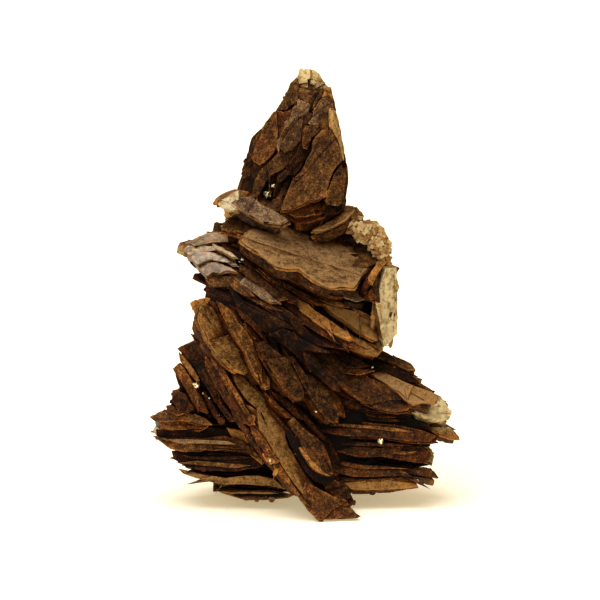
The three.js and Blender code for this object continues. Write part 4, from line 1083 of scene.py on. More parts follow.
def on_plane(spots, stand, turn, lean, solid):
    """The plane of a plate drawn as the camera sees it: its middle, its axes and its flat corners.

    The plane turns to the right and leans back by two angles, and stands that far in front of the
    solid.
    """
    right = math.tan(math.radians(turn))
    upward = math.tan(math.radians(lean))
    middle = spots.mean(axis=0)
    steep = VIEW_IN / VIEW_UP
    depths = []
    for pull in (0.0, 0.35, 0.7):
        for spot in spots if pull else spots[:1]:
            place = seen_at(*(middle + (spot - middle) * pull), solid)
            if place is None:
                continue
            level = place.y - right * (place.x - middle[0]) - upward * place.z
            level += upward * (middle[1] + VIEW_LEVEL * VIEW_IN) / VIEW_UP
            depths.append(level / (1 + upward * steep))
    if not depths:
        raise ValueError("a front plate lies beside the solid")
    depth = float(np.median(depths)) - stand
    level = (middle[1] - VIEW_IN * (depth - VIEW_LEVEL)) / VIEW_UP
    aside = spots[:, 0] - middle[0]
    rise = (spots[:, 1] - middle[1] - VIEW_IN * right * aside) / (VIEW_UP + VIEW_IN * upward)
    corners = np.column_stack([spots[:, 0], depth + right * aside + upward * rise, level + rise])
    centre = corners.mean(axis=0)
    normal = np.array([right, -1.0, upward])
    normal = normal / np.linalg.norm(normal)
    along = np.linalg.svd(corners - centre)[2][0]
    along = along * np.sign(along[0] + 1e-9)
    axes = np.array([along, np.cross(normal, along), normal])
    flat = (corners - centre) @ axes[:2].T
    turned = flat[:, 0] @ np.roll(flat[:, 1], -1) - flat[:, 1] @ np.roll(flat[:, 0], -1)
    return centre, axes, flat if turned > 0 else flat[::-1]


def slab(row, sizes, solid, seed):
    """The laminae of one plate that faces the front, from its front to its hidden root."""
    stand, turn, lean, thick, tone, red, pale, numbers = row
    random = np.random.default_rng(seed)
    spots = np.array(numbers).reshape(-1, 2)
    centre, axes, flat = on_plane(spots, stand, turn, lean, solid)
    chip = sizes.chip / MM
    edge = walked(flat, FRONT_STEP)[0]
    angle = random.uniform(0, 2 * math.pi)
    away = np.array([math.cos(angle), math.sin(angle)])
    broad = edge[:, 1].max() - edge[:, 1].min() > BROAD and thick > THICK
    step = random.uniform(*SCAB)
    own = thick * random.uniform(*FRONT_LAYER)
    sway = random.normal(0, SWAY, 2)
    # Each layer: its outline, thickness, distance in front of the plate, look, tone and rust.
    layers = [
        (edge, own, 0.0, FACE_LOOK if broad else THIN_LOOK, tone, red),
        (edge * 1.02 + sway, thick - own, -own, EDGE_LOOK, tone * 0.7, red + 0.2),
        (edge[::2] * 0.86 - sway, sizes.root / MM, -thick, ROOT_LOOK, 0.1, red),
    ]
    if broad:
        scab = broken_off(edge * 0.985, away, random.uniform(0.1, 0.6))
        if lean < 60:
            layers.append((scab, step + 0.15, step, FACE_LOOK, tone + 0.08, red))
        second = broken_off(edge * 0.97, -away[::-1], random.uniform(0.0, 0.35))
        layers.append((second, 0.25, 0.1, FACE_LOOK, tone, red + 0.1))
    made = []
    for layer, (rim, deep, front, look, light, rusty) in enumerate(layers):
        own_seed = seed * 13 + layer * 5
        rim = chipped(rim, chip * look["chips"], own_seed)
        points, triangles, rust, layering = lamina(rim, deep, look, random, own_seed)
        points = centre + (points + np.array([0, 0, front - deep / 2])) @ axes
        made.append((points, triangles, rust, layering, varied(light, random, 0.06),
                     varied(rusty, random, 0.1), pale))
    return made


def cut_steep(points):
    """The spire's points with those beyond its steep faces brought back onto them."""
    for (x1, z1), (x2, z2), turn in SPIRE_FACES:
        inward = np.array([z2 - z1, 0, x1 - x2])
        inward = inward / np.linalg.norm(inward) * math.cos(math.radians(turn))
        inward[1] = math.sin(math.radians(turn))
        offset = inward @ np.array([x1, SPIRE_DEPTH, z1])
        beyond = np.minimum(points @ inward - offset - 0.12 * noise(points, 1.3, 77), 0)
        points = points - beyond[:, None] * inward
    return points


def paleness(points):
    """How pale the siderite is at each point."""
    found = np.zeros(len(points))
    for middle, reach, most in PALE_SPOTS:
        far = np.linalg.norm(points - np.array(middle), axis=1) / reach
        far = far + 0.35 * noise(points, 1.2, 31)
        found = np.maximum(found, most * np.clip((1.15 - far) * 2.5, 0, 1))
    return found


def mesh_of(name, laminae, warp, finish=None):
    """One mesh from laminae, with the attributes its finish reads."""
    corners = []
    triangles = []
    values = {"tone": [], "rust": [], "red": [], "pale": []}
    layering = []
    first = 0
    for points, faces, rust, own, tone, red, pale in laminae:
        bent = np.column_stack([noise(points, 4.0, 3), noise(points, 4.0, 4), noise(points, 4.0, 5)])
        points = points + warp * bent
        if finish:
            points = finish(points)
        points = np.column_stack([points[:, :2], np.maximum(points[:, 2], 0)])
        corners.append(points)
        triangles.append(faces + first)
        first += len(points)
        values["tone"].append(np.full(len(points), tone))
        values["rust"].append(rust)
        values["red"].append(np.full(len(points), red))
        values["pale"].append(np.full(len(points), pale))
        layering.append(own)
    corners = np.concatenate(corners)
    triangles = np.concatenate(triangles)
    mesh = bpy.data.meshes.new(name)
    mesh.vertices.add(len(corners))
    mesh.vertices.foreach_set("co", ((corners - LAYOUT_MIDDLE) * MM).ravel())
    mesh.loops.add(triangles.size)
    mesh.loops.foreach_set("vertex_index", triangles.ravel())
    mesh.polygons.add(len(triangles))
    mesh.polygons.foreach_set("loop_start", np.arange(0, triangles.size, 3))
    mesh.update(calc_edges=True)
    mesh.polygons.foreach_set("use_smooth", np.ones(len(triangles), bool))
    mesh.set_sharp_from_angle(angle=math.radians(30))
    values["pale"] = [np.maximum(np.concatenate(values["pale"]), paleness(corners))]
    for key, parts in values.items():
        keep(mesh, key, np.concatenate(parts))
    held = mesh.attributes.new("layering", "FLOAT_VECTOR", "POINT")
    held.data.foreach_set("vector", np.concatenate(layering).astype(np.float32).ravel())
    return mesh


def keep(mesh, key, values):
    """Stores a number for each corner of a mesh under a name."""
    held = mesh.attributes.get(key) or mesh.attributes.new(key, "FLOAT", "POINT")
    held.data.foreach_set("value", np.broadcast_to(values, len(mesh.vertices)).astype(np.float32))


def corners_of(mesh):
    """A mesh's corners in metres."""
    places = np.empty(len(mesh.vertices) * 3)
    mesh.vertices.foreach_get("co", places)
    return places.reshape(-1, 3)


def tree_of(pieces):
    """All the pieces' triangles for rays, in millimetres."""
    corners = []
    triangles = []
    first = 0
    for piece in pieces:
        faces = np.empty(len(piece.data.loops), int)
        piece.data.loops.foreach_get("vertex_index", faces)
        corners.append(corners_of(piece.data) / MM)
        triangles.append(faces.reshape(-1, 3) + first)
        first += len(piece.data.vertices)
    corners = np.concatenate(corners).tolist()
    return BVHTree.FromPolygons(corners, np.concatenate(triangles).tolist(), all_triangles=True)


def stain(pieces, rays, reach):
    """Stores how open each corner of the pieces is to the air: 0 deep in a crevice, 1 in the open. The
    finishes darken colour by it, painted shade in the crevices along with stain.
    """
    tree = tree_of(pieces)
    random = np.random.default_rng(SHADE_AND_STAIN_SEED)
    for piece in pieces:
        mesh = piece.data
        places = corners_of(mesh) / MM
        normals = np.empty(len(mesh.vertices) * 3)
        mesh.vertex_normals.foreach_get("vector", normals)
        normals = normals.reshape(-1, 3)
        aside = np.cross(normals, np.where(np.abs(normals[:, :1]) > 0.6, [[0, 1, 0]], [[1, 0, 0]]))
        aside /= np.maximum(np.linalg.norm(aside, axis=1), 1e-9)[:, None]
        third = np.cross(normals, aside)
        starts = (places + normals * 0.03).tolist()
        first_turn = random.uniform(0, math.tau, len(places))
        first_lean = random.uniform(0, 1, len(places))
        open_share = np.zeros(len(places))
        for ray in range(rays):
            turn = (first_turn + ray * math.tau / rays)[:, None]
            lean = np.sqrt((first_lean + ray) / rays)[:, None]
            ways = (aside * np.cos(turn) + third * np.sin(turn)) * lean
            ways = (ways + normals * np.sqrt(1 - lean**2)).tolist()
            hits = [tree.ray_cast(start, way, reach)[3] for start, way in zip(starts, ways)]
            open_share += np.array([reach if hit is None else hit for hit in hits]) / reach / rays
        keep(mesh, "open", softened(mesh, open_share))


def softened(mesh, values):
    """Values at a mesh's corners, averaged with their neighbours along the edges."""
    ends = np.empty(len(mesh.edges) * 2, int)
    mesh.edges.foreach_get("vertices", ends)
    first, second = ends.reshape(-1, 2).T
    count = np.bincount(first, minlength=len(values)) + np.bincount(second, minlength=len(values))
    for _ in range(3):
        near = np.bincount(first, values[second], len(values))
        near += np.bincount(second, values[first], len(values))
        values = 0.5 * values + 0.5 * near / np.maximum(count, 1)
    return values


def add_piece(mesh, material, slot, *nodes):
    """A finished piece that rides on the one body and stands for CAD nodes."""
    piece = bpy.data.objects.new(mesh.name, mesh)
    bpy.context.scene.collection.objects.link(piece)
    if mesh.materials:
        mesh.materials[0] = material
    else:
        mesh.materials.append(material)
    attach(piece, "root")
    if nodes:
        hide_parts(*nodes)
    return piece


def linear(code):
    """An sRGB hex colour as linear red, green, blue and alpha."""
    parts = [int(code[i : i + 2], 16) / 255 for i in (1, 3, 5)]
    return [p / 12.92 if p <= 0.04045 else ((p + 0.055) / 1.055) ** 2.4 for p in parts] + [1.0]


def add_node(tree, kind, inputs=None, stops=(), **settings):
    """Adds a node with its settings and links. Each input is a value or another node's output. Each
    stop of a colour ramp is a place and a colour or grey, in rising order."""
    made = tree.nodes.new(kind)
    for key, value in settings.items():
        setattr(made, key, value)
    for key, value in (inputs or {}).items():
        if isinstance(value, bpy.types.NodeSocket):
            tree.links.new(value, made.inputs[key])
        else:
            made.inputs[key].default_value = value
    if stops:
        elements = made.color_ramp.elements
        while len(elements) < len(stops):
            elements.new(0.5)
        for element, (at, colour) in zip(elements, stops):
            element.position = at
            element.color = [*([colour] * 3 if isinstance(colour, float) else colour[:3]), 1.0]
    return made


def per_mm(size):
    """The scale of a pattern on Object coordinates, for features of that size in millimetres."""
    return 1 / (size * MM)


def new_material(name):
    """A material without nodes, and its tree."""
    material = bpy.data.materials.new(name)
    material.use_nodes = True
    material.node_tree.nodes.clear()
    return material, material.node_tree


def shaded(material, inputs):
    """The material with its shader, which takes those inputs, and its output."""
    tree = material.node_tree
    shader = add_node(tree, "ShaderNodeBsdfPrincipled", inputs)
    add_node(tree, "ShaderNodeOutputMaterial", {"Surface": shader.outputs["BSDF"]})
    return material


def summed(tree, level, *parts):
    """A level with patterns added to it, each times its own weight."""
    for pattern, weight in parts:
        inputs = {0: pattern, 1: weight, 2: level}
        level = add_node(tree, "ShaderNodeMath", inputs, operation="MULTIPLY_ADD").outputs[0]
    return level


def coated(tree, pattern, colours, *coats):
    """Colours that follow a pattern, under coats: each coat's share, pattern, colours and blend."""
    seen = add_node(tree, "ShaderNodeValToRGB", {"Fac": pattern}, colours).outputs["Color"]
    for share, pattern, colours, blend in coats:
        coat = add_node(tree, "ShaderNodeValToRGB", {"Fac": pattern}, colours).outputs["Color"]
        inputs = {0: share, 6: seen, 7: coat}
        seen = add_node(tree, "ShaderNodeMix", inputs, data_type="RGBA", blend_type=blend).outputs[2]
    return seen


def patterns(tree):
    """The patterns that the siderite finishes share: patches, grain, grit and layering streaks,
    which all vary around a half, and the attributes of the pieces."""
    place = add_node(tree, "ShaderNodeTexCoord").outputs["Object"]
    found = {
        key: add_node(tree, "ShaderNodeAttribute", attribute_name=key).outputs["Fac"]
        for key in ("tone", "rust", "red", "pale", "open")
    }
    own = add_node(tree, "ShaderNodeAttribute", attribute_name="layering").outputs["Vector"]
    thin = add_node(tree, "ShaderNodeVectorMath", {0: own, 1: LAYERING}, operation="MULTIPLY").outputs[0]
    for key, vector, scale, detail, rough in (
        ("streaks", thin, 1.0, 4.0, 0.6),
        ("patches", place, per_mm(2.4), 3.0, 0.62),
        ("grain", place, per_mm(0.7), 3.0, 0.62),
        ("grit", place, per_mm(0.22), 2.0, 0.62),
    ):
        inputs = {"Vector": vector, "Scale": scale, "Detail": detail, "Roughness": rough}
        found[key] = add_node(tree, "ShaderNodeTexNoise", inputs).outputs["Fac"]
    return found


def siderite_weathered(colours):
    """Weathered siderite: natural growth and cleavage faces, browned by iron oxide, which gives grey-brown
    satin faces and rust along the chipped rims. Its crevices are darkened to nearly black by painted shade
    along with stain, and its grey-taupe upward faces carry some painted sheen."""
    material, tree = new_material("siderite_weathered")
    seen = patterns(tree)
    light = summed(
        tree, -1.38, (seen["grain"], 0.9), (seen["grit"], 1.1), (seen["streaks"], 0.6),
        (seen["patches"], 0.4), (seen["tone"], 0.75), (seen["rust"], 0.2),
    )
    # Grey-taupe where the rust is below 0: the face's own grey, and on upward faces painted sheen as well.
    grey = summed(tree, 0.0, (seen["red"], -1.6))
    rusted = summed(tree, -1.6, (seen["patches"], 2.6), (seen["red"], 0.85), (seen["rust"], 0.55))
    rusted = add_node(tree, "ShaderNodeClamp", {"Value": rusted, "Max": 0.85}).outputs[0]
    face = (0.0, colours.soot), (0.3, colours.face_dark), (0.62, colours.face), (1.0, colours.face_light)
    taupe = (0.15, colours.face_dark), (0.6, colours.taupe), (1.0, colours.taupe_light)
    rust = (0.05, colours.rust_dark), (0.55, colours.rust), (1.0, colours.ochre)
    cream = (0.2, colours.face), (0.6, colours.cream_dark), (1.0, colours.cream)
    # Colour by how open a corner is to the air: painted shade in the crevices, along with the stain that
    # gathers there.
    stain = (0.14, (0.03, 0.012, 0.005)), (0.5, (0.36, 0.25, 0.17)), (0.84, 1.0)
    colour = coated(
        tree, light, face,
        (grey, light, taupe, "MIX"),
        (rusted, light, rust, "MIX"),
        (seen["pale"], light, cream, "MIX"),
        (1.0, seen["open"], stain, "MULTIPLY"),
    )
    relief = summed(tree, 0.0, (seen["grain"], 0.7), (seen["streaks"], 1.0), (seen["grit"], 0.5))
    bump = add_node(tree, "ShaderNodeBump", {"Height": relief, "Strength": 0.9, "Distance": 0.14 * MM})
    return shaded(material, {
        "Base Color": colour,
        "Roughness": summed(tree, 0.4, (seen["grain"], 0.4)),
        "Normal": bump.outputs["Normal"],
        "Specular IOR Level": WEATHERED_SHINE,
        "IOR": SIDERITE_IOR,
    })


def siderite_fresh(colours):
    """Fresh siderite: unweathered crystal broken across its cleavage, which gives a cream to olive
    glassy body that lets some light through, with brown films along its layers."""
    material, tree = new_material("siderite_fresh")
    seen = patterns(tree)
    light = summed(
        tree, -1.51, (seen["streaks"], 1.0), (seen["grain"], 1.1), (seen["patches"], 1.0),
        (seen["tone"], 0.6),
    )
    filmed = summed(tree, -2.5, (seen["patches"], 4.5), (seen["red"], 0.8))
    filmed = add_node(tree, "ShaderNodeClamp", {"Value": filmed, "Max": 0.8}).outputs[0]
    body = (0.2, colours.cream_deep), (0.42, colours.cream_dark), (0.68, colours.cream)
    film = (0.3, colours.face), (0.7, colours.ochre)
    colour = coated(
        tree, light, body,
        (filmed, seen["grit"], film, "MIX"),
        # Darker where a corner is closed to the air: painted crevice shade.
        (1.0, seen["open"], ((0.12, 0.12), (0.75, 1.0)), "MULTIPLY"),
    )
    relief = summed(tree, 0.0, (seen["grain"], 1.0), (seen["streaks"], 1.0))
    bump = add_node(tree, "ShaderNodeBump", {"Height": relief, "Strength": 0.7, "Distance": 0.1 * MM})
    return shaded(material, {
        "Base Color": colour,
        "Roughness": summed(tree, 0.15, (seen["grain"], 0.3)),
        "Normal": bump.outputs["Normal"],
        "Specular IOR Level": FRESH_SHINE,
        "IOR": SIDERITE_IOR,
        "Transmission Weight": 0.25,
    })


def iron_oxide_crumbs(colours):
    """Iron-oxide crumbs: earthy grains grown on the plates, dull ochre to dark brown."""
    material, tree = new_material("iron_oxide_crumbs")
    place = add_node(tree, "ShaderNodeTexCoord").outputs["Object"]
    inputs = {"Vector": place, "Scale": per_mm(0.7), "Detail": 2.0}
    kind = add_node(tree, "ShaderNodeTexNoise", inputs).outputs["Fac"]
    # Darker where a crumb is closed to the air: painted crevice shade.
    openness = add_node(tree, "ShaderNodeAttribute", attribute_name="open").outputs["Fac"]
    colour = coated(
        tree, kind, ((0.3, colours.crumb_dark), (0.5, colours.rust), (0.72, colours.ochre)),
        (1.0, openness, ((0.15, 0.05), (0.85, 1.0)), "MULTIPLY"),
    )
    return shaded(material, {
        "Base Color": colour,
        "Roughness": summed(tree, 0.55, (kind, 0.3)),
        "Specular IOR Level": 0.25,
    })


def pyrite_crystal(colours):
    """Pyrite with its own growth faces: a pale brassy metal with fine growth lines, which give its
    mirrors a satin edge."""
    material, tree = new_material("pyrite_crystal")
    place = add_node(tree, "ShaderNodeTexCoord").outputs["Object"]
    inputs = {"Vector": place, "Scale": per_mm(0.35), "Detail": 3.0}
    grain = add_node(tree, "ShaderNodeTexNoise", inputs).outputs["Fac"]
    inputs = {"Vector": place, "Scale": per_mm(GROWTH_LINES), "Distortion": 1.0}
    lines = add_node(tree, "ShaderNodeTexWave", inputs, bands_direction="Z").outputs["Fac"]
    bump = add_node(tree, "ShaderNodeBump", {"Height": lines, "Strength": 0.25, "Distance": 0.03 * MM})
    return shaded(material, {
        "Base Color": coated(tree, grain, ((0.32, colours.pyrite_dark), (0.6, colours.pyrite))),
        "Roughness": summed(tree, 0.22, (grain, 0.3)),
        "Normal": bump.outputs["Normal"],
        "Metallic": 1.0,
    })


def pale_paper():
    """Uncoated paper, matt and warm white, lit a little from within so that it has no dark edge."""
    return shaded(new_material("pale_paper")[0], {
        "Base Color": linear(PAPER_COLOUR),
        "Emission Color": linear(PAPER_GLOW_COLOUR),
        "Emission Strength": PAPER_GLOW,
        "Roughness": PAPER_ROUGHNESS,
    })


def finish(make):
    """The material that a function makes, made once."""
    found = bpy.data.materials.get(make.__name__)
    return found or make(bpy.context.scene.siderite_colours)


def rock(name, lumps, swell, tone, red):
    """Rounded lumps as one mesh with the attributes that the siderite's finish reads."""
    parts = []
    for i, (middle, radii) in enumerate(lumps):
        ball = bmesh.new()
        bmesh.ops.create_icosphere(ball, subdivisions=5, radius=1.0)
        points = np.array([corner.co for corner in ball.verts]) * np.array(radii)
        faces = np.array([[corner.index for corner in face.verts] for face in ball.faces])
        ball.free()
        size = min(radii)
        relief = noise(points, size * 0.45, 90 + i) + 0.5 * noise(points, size * 0.2, 95 + i)
        points = points * (1 + swell * relief)[:, None] + np.array(middle)
        parts.append((points, faces, np.zeros(len(points)), points, tone, red, 0.0))
    return mesh_of(name, parts, 0.0)


def scatter_tree(name, hosts, shape, material):
    """Scatters small crystals over the hosts' faces; more of them where an attribute is high."""
    tree = bpy.data.node_groups.new(name, "GeometryNodeTree")
    for key, way, kind in (
        ("Geometry", "INPUT", "Geometry"),
        ("Density", "INPUT", "Float"),
        ("Attribute", "INPUT", "String"),
        ("Smallest", "INPUT", "Float"),
        ("Largest", "INPUT", "Float"),
        ("Tilt", "INPUT", "Float"),
        ("Seed", "INPUT", "Int"),
        ("Geometry", "OUTPUT", "Geometry"),
    ):
        tree.interface.new_socket(key, in_out=way, socket_type="NodeSocket" + kind)
    given = tree.nodes.new("NodeGroupInput").outputs
    joined = tree.nodes.new("GeometryNodeJoinGeometry")
    for host in hosts:
        source = add_node(tree, "GeometryNodeObjectInfo", {"Object": host})
        tree.links.new(source.outputs["Geometry"], joined.inputs[0])
    inputs = {"Name": given["Attribute"]}
    where = add_node(tree, "GeometryNodeInputNamedAttribute", inputs, data_type="FLOAT").outputs
    inputs = {0: where["Attribute"], 1: given["Density"]}
    density = add_node(tree, "ShaderNodeMath", inputs, operation="MULTIPLY").outputs[0]
    inputs = {"Mesh": joined.outputs[0], "Density": density, "Seed": given["Seed"]}
    points = add_node(tree, "GeometryNodeDistributePointsOnFaces", inputs).outputs
    made = add_node(tree, *GRAINS[shape]).outputs["Mesh"]
    inputs = {"Seed": given["Seed"]}
    turn = add_node(tree, "FunctionNodeRandomValue", inputs, data_type="FLOAT_VECTOR").outputs["Value"]
    inputs = {0: turn, 1: (-0.5, -0.5, 0.0)}
    lean = add_node(tree, "ShaderNodeVectorMath", inputs, operation="ADD").outputs[0]
    inputs = {0: lean, "Scale": given["Tilt"]}
    lean = add_node(tree, "ShaderNodeVectorMath", inputs, operation="SCALE").outputs[0]
    inputs = {"Rotation": points["Rotation"], "Rotate By": lean}
    spun = add_node(tree, "FunctionNodeRotateRotation", inputs, rotation_space="LOCAL").outputs[0]
    inputs = {2: given["Smallest"], 3: given["Largest"], "Seed": given["Seed"]}
    size = add_node(tree, "FunctionNodeRandomValue", inputs, data_type="FLOAT").outputs[1]
    inputs = {"Points": points["Points"], "Instance": made, "Rotation": spun, "Scale": size}
    placed = add_node(tree, "GeometryNodeInstanceOnPoints", inputs).outputs["Instances"]
    whole = add_node(tree, "GeometryNodeRealizeInstances", {"Geometry": placed}).outputs["Geometry"]
    finished = add_node(tree, "GeometryNodeSetMaterial", {"Geometry": whole, "Material": material})
    add_node(tree, "NodeGroupOutput", {0: finished.outputs["Geometry"]})
    return tree


def scattered(name, hosts, material, density, size):
    """A plain mesh of small crystals on the hosts: the density is for a square metre where the
    attribute is 1, and the size is the largest crystal's."""
    shape, where, smallest, tilt, seed = SCATTERS[name]
    values = {"Density": density, "Attribute": where, "Smallest": size * smallest, "Largest": size,
              "Tilt": tilt, "Seed": seed}
    tree = scatter_tree(name, hosts, shape, material)
    holder = bpy.data.objects.new(name, bpy.data.meshes.new(name + "_base"))
    bpy.context.scene.collection.objects.link(holder)
    modifier = holder.modifiers.new(name, "NODES")
    modifier.node_group = tree
    for item in tree.interface.items_tree:
        if item.in_out == "INPUT" and item.name in values:
            modifier[item.identifier] = values[item.name]
    graph = bpy.context.evaluated_depsgraph_get()
    mesh = bpy.data.meshes.new_from_object(holder.evaluated_get(graph), depsgraph=graph)
    holder.modifiers.clear()
    bpy.data.objects.remove(holder)
    mesh.name = name
    places = corners_of(mesh)
    mesh.vertices.foreach_set("co", np.maximum(places, [-1.0, -1.0, 0.0]).ravel())
    return mesh


def pyrite_cluster(name, middle, radius, crystals, random):
    """A small intergrowth of twelve-faced pyrite crystals, the largest in the middle."""
    whole = bmesh.new()
    for i in range(crystals):
        own = radius * (MAIN_CRYSTAL if i == 0 else random.uniform(*SIDE_CRYSTALS))
        away = Vector(random.normal(0, 1, 3)).normalized() * (0 if i == 0 else radius * SIDE_DISTANCE)
        turn = Euler(random.uniform(0, math.tau, 3)).to_matrix()
        points = [(x, y, z) for x in (-1, 1) for y in (-1, 1) for z in (-1, 1)]
        for high in (-RIDGE_HEIGHT, RIDGE_HEIGHT):
            for short in (-RIDGE_HALF, RIDGE_HALF):
                points += [(0, short, high), (short, high, 0), (high, 0, short)]
        places = [middle + away + turn @ Vector(point) * own / CRYSTAL_REACH for point in points]
        corners = [whole.verts.new(place) for place in places]
        found = bmesh.ops.convex_hull(whole, input=corners)
        inner = [part for part in found["geom_interior"] if isinstance(part, bmesh.types.BMVert)]
        bmesh.ops.delete(whole, geom=inner, context="VERTS")
    bmesh.ops.recalc_face_normals(whole, faces=whole.faces)
    mesh = bpy.data.meshes.new(name)
    whole.to_mesh(mesh)
    whole.free()
    return mesh


def add_siderite(mesh, make=siderite_weathered):
    """A finished piece that stands for the siderite's CAD node."""
    return add_piece(mesh, finish(make), "siderite", "siderite")


def siderite_pieces():
    """All the siderite pieces made so far."""
    return [piece for piece in bpy.context.scene.objects if piece.type == "MESH" and piece.name in PIECES]


def length_setting(name, text, size):
    """A length for the panel, given in millimetres."""
    return FloatProperty(name=name, description=text, default=size * MM, unit="LENGTH", precision=5)


def number(name, text, value):
    """A number for the panel."""
    return FloatProperty(name=name, description=text, default=value)


def shade(name, text, code):
    """A colour for the panel, given as sRGB hex."""
    return FloatVectorProperty(name=name, description=text, default=linear(code)[:3], subtype="COLOR")


class SideriteSizes(PropertyGroup):
    """Sizes of the plates and of what grows on them."""

    chip: length_setting("Chip", "Depth of the chips in a plate's edge", 0.16)
    warp: length_setting("Warp", "How far the plates bend from flat", 0.14)
    recess: length_setting("Recess", "How far grown-through plates stand behind the front", 1.6)
    root: length_setting("Root", "How deep a front plate runs into the mass behind it", 2.2)
    # The reach and rays below set how the crevices are darkened: painted shade, along with stain.
    stain_reach: length_setting("Shade and stain reach", "How wide a gap still gathers dark stain", 3.0)
    stain_rays: IntProperty(name="Shade and stain rays", description="Rays used to find crevices", default=3)
    crumb: length_setting("Crumb", "Radius of the largest iron-oxide crumb", 0.16)
    crumbs: number("Crumbs", "Crumbs per square millimetre at a rusty rim", 0.3)
    flake: length_setting("Flake", "Radius of the largest loose flake", 0.65)
    flakes: number("Flakes", "Flakes per square millimetre of open face", 0.06)
    crust: length_setting("Crust crystal", "Half length of the largest crust crystal", 0.55)


class SideriteColours(PropertyGroup):
    """Colours of the siderite, its rust and the pyrite."""

    soot: shade("Soot", "Darkest weathered face", "#080301")
    face_dark: shade("Dark face", "Dark weathered face", "#1f1006")
    face: shade("Face", "Middle tone of a weathered face", "#553516")
    face_light: shade("Light face", "Lightest weathered face", "#926b3a")
    taupe: shade("Taupe", "Middle tone of a grey-taupe face", "#5e4a3a")
    taupe_light: shade("Light taupe", "Lightest grey-taupe face", "#ab9478")
    rust_dark: shade("Dark rust", "Darkest iron oxide", "#160701")
    rust: shade("Rust", "Iron oxide", "#5a2b0a")
    ochre: shade("Ochre", "Light iron oxide", "#b87a36")
    crumb_dark: shade("Dark crumb", "Darkest iron-oxide crumb", "#2a1206")
    cream_deep: shade("Deep cream", "Darkest fresh siderite", "#4a3311")
    cream_dark: shade("Dark cream", "Shaded fresh siderite", "#94743c")
    cream: shade("Cream", "Fresh siderite", "#dcc48e")
    pyrite_dark: shade("Dark pyrite", "Pyrite in shade", "#b08d4a")
    pyrite: shade("Pyrite", "Bright pyrite", "#fff3cc")


class StudioSettings(PropertyGroup):
    """The studio around the specimen."""

    key_light: number("Key light", "Strength of the high soft light", 2.7)
    fill_light: number("Fill light", "Strength of the low front light", 0.5)
    sky: number("Sky", "Strength of the white surroundings", 0.4)
    floor: FloatProperty(name="Floor", description="Width of the paper floor", default=6.0, unit="LENGTH")


class SIDERITE_OT_fans(Operator):
    """Builds the grown-through fans of lens-shaped plates"""

    bl_idname = "siderite.fans"
    bl_label = "Fans of plates"

    def execute(self, context):
        sizes = context.scene.siderite_sizes
        for i, name in enumerate(FANS):
            laminae = fan_laminae(name, sizes, FAN_SEED * (i + 1))
            mesh = mesh_of(name, laminae, sizes.warp / MM, cut_steep if name == "spire" else None)
            add_siderite(mesh)
        return {"FINISHED"}


class SIDERITE_OT_hearts(Operator):
    """Builds the lumps in which the fans have grown into one mass, dark as painted shade in the gaps"""

    bl_idname = "siderite.hearts"
    bl_label = "Grown-together middle"

    def execute(self, context):
        # A tone below 0 paints the lumps as shade.
        add_siderite(rock("hearts", HEARTS, swell=0.08, tone=-0.5, red=0.5))
        return {"FINISHED"}


class SIDERITE_OT_front_plates(Operator):
    """Builds the broken plates that face the front"""

    bl_idname = "siderite.front_plates"
    bl_label = "Front plates"

    def execute(self, context):
        sizes = context.scene.siderite_sizes
        solid = solid_tree()
        for i, (name, rows) in enumerate(FRONT_PLATES.items()):
            laminae = []
            for k, row in enumerate(rows.values()):
                laminae += slab(row, sizes, solid, FRONT_SEED * (i + 1) + k)
            make = siderite_fresh if name == "fresh_plates" else siderite_weathered
            add_siderite(mesh_of(name, laminae, sizes.warp / MM), make)
        return {"FINISHED"}


class SIDERITE_OT_crust(Operator):
    """Builds the crumbly crust of small crystals at the right of the shoulder"""

    bl_idname = "siderite.crust"
    bl_label = "Crystal crust"

    def execute(self, context):
        lumps = add_siderite(rock("crust_lumps", CRUST_LUMPS, swell=0.12, tone=1.1, red=0.4))
        keep(lumps.data, "where", 1.0)
        size = context.scene.siderite_sizes.crust
        mesh = scattered("crust_crystals", [lumps], finish(siderite_weathered), CRUST_DENSITY, size)
        random = np.random.default_rng(CRUST_SEED)
        count = len(mesh.vertices) // RHOMB_CORNERS
        for key, reach in CRUST_RANGES.items():
            keep(mesh, key, np.repeat(random.uniform(*reach, count), RHOMB_CORNERS))
        for key, value in CRUST_VALUES.items():
            keep(mesh, key, value)
        add_siderite(mesh)
        return {"FINISHED"}


class SIDERITE_OT_stain(Operator):
    """Darkens the crevices between the plates: painted shade, along with the stain that water has left there
    """

    bl_idname = "siderite.stain"
    bl_label = "Stained crevices"

    def execute(self, context):
        sizes = context.scene.siderite_sizes
        rays = sizes.stain_rays
        stain(siderite_pieces(), rays, sizes.stain_reach / MM)
        return {"FINISHED"}


class SIDERITE_OT_grains(Operator):
    """Scatters loose flakes over the open faces, and iron-oxide crumbs along the rusty rims"""

    bl_idname = "siderite.grains"
    bl_label = "Flakes and crumbs"

    def execute(self, context):
        sizes = context.scene.siderite_sizes
        hosts = siderite_pieces()
        crumbs = sizes.crumbs * PER_SQUARE_MM
        mesh = scattered("rust_crumbs", hosts, finish(iron_oxide_crumbs), crumbs, sizes.crumb)
        add_siderite(mesh, iron_oxide_crumbs)
        flakes = sizes.flakes * PER_SQUARE_MM
        mesh = scattered("loose_flakes", hosts, finish(siderite_weathered), flakes, sizes.flake)
        add_siderite(mesh)
        return {"FINISHED"}


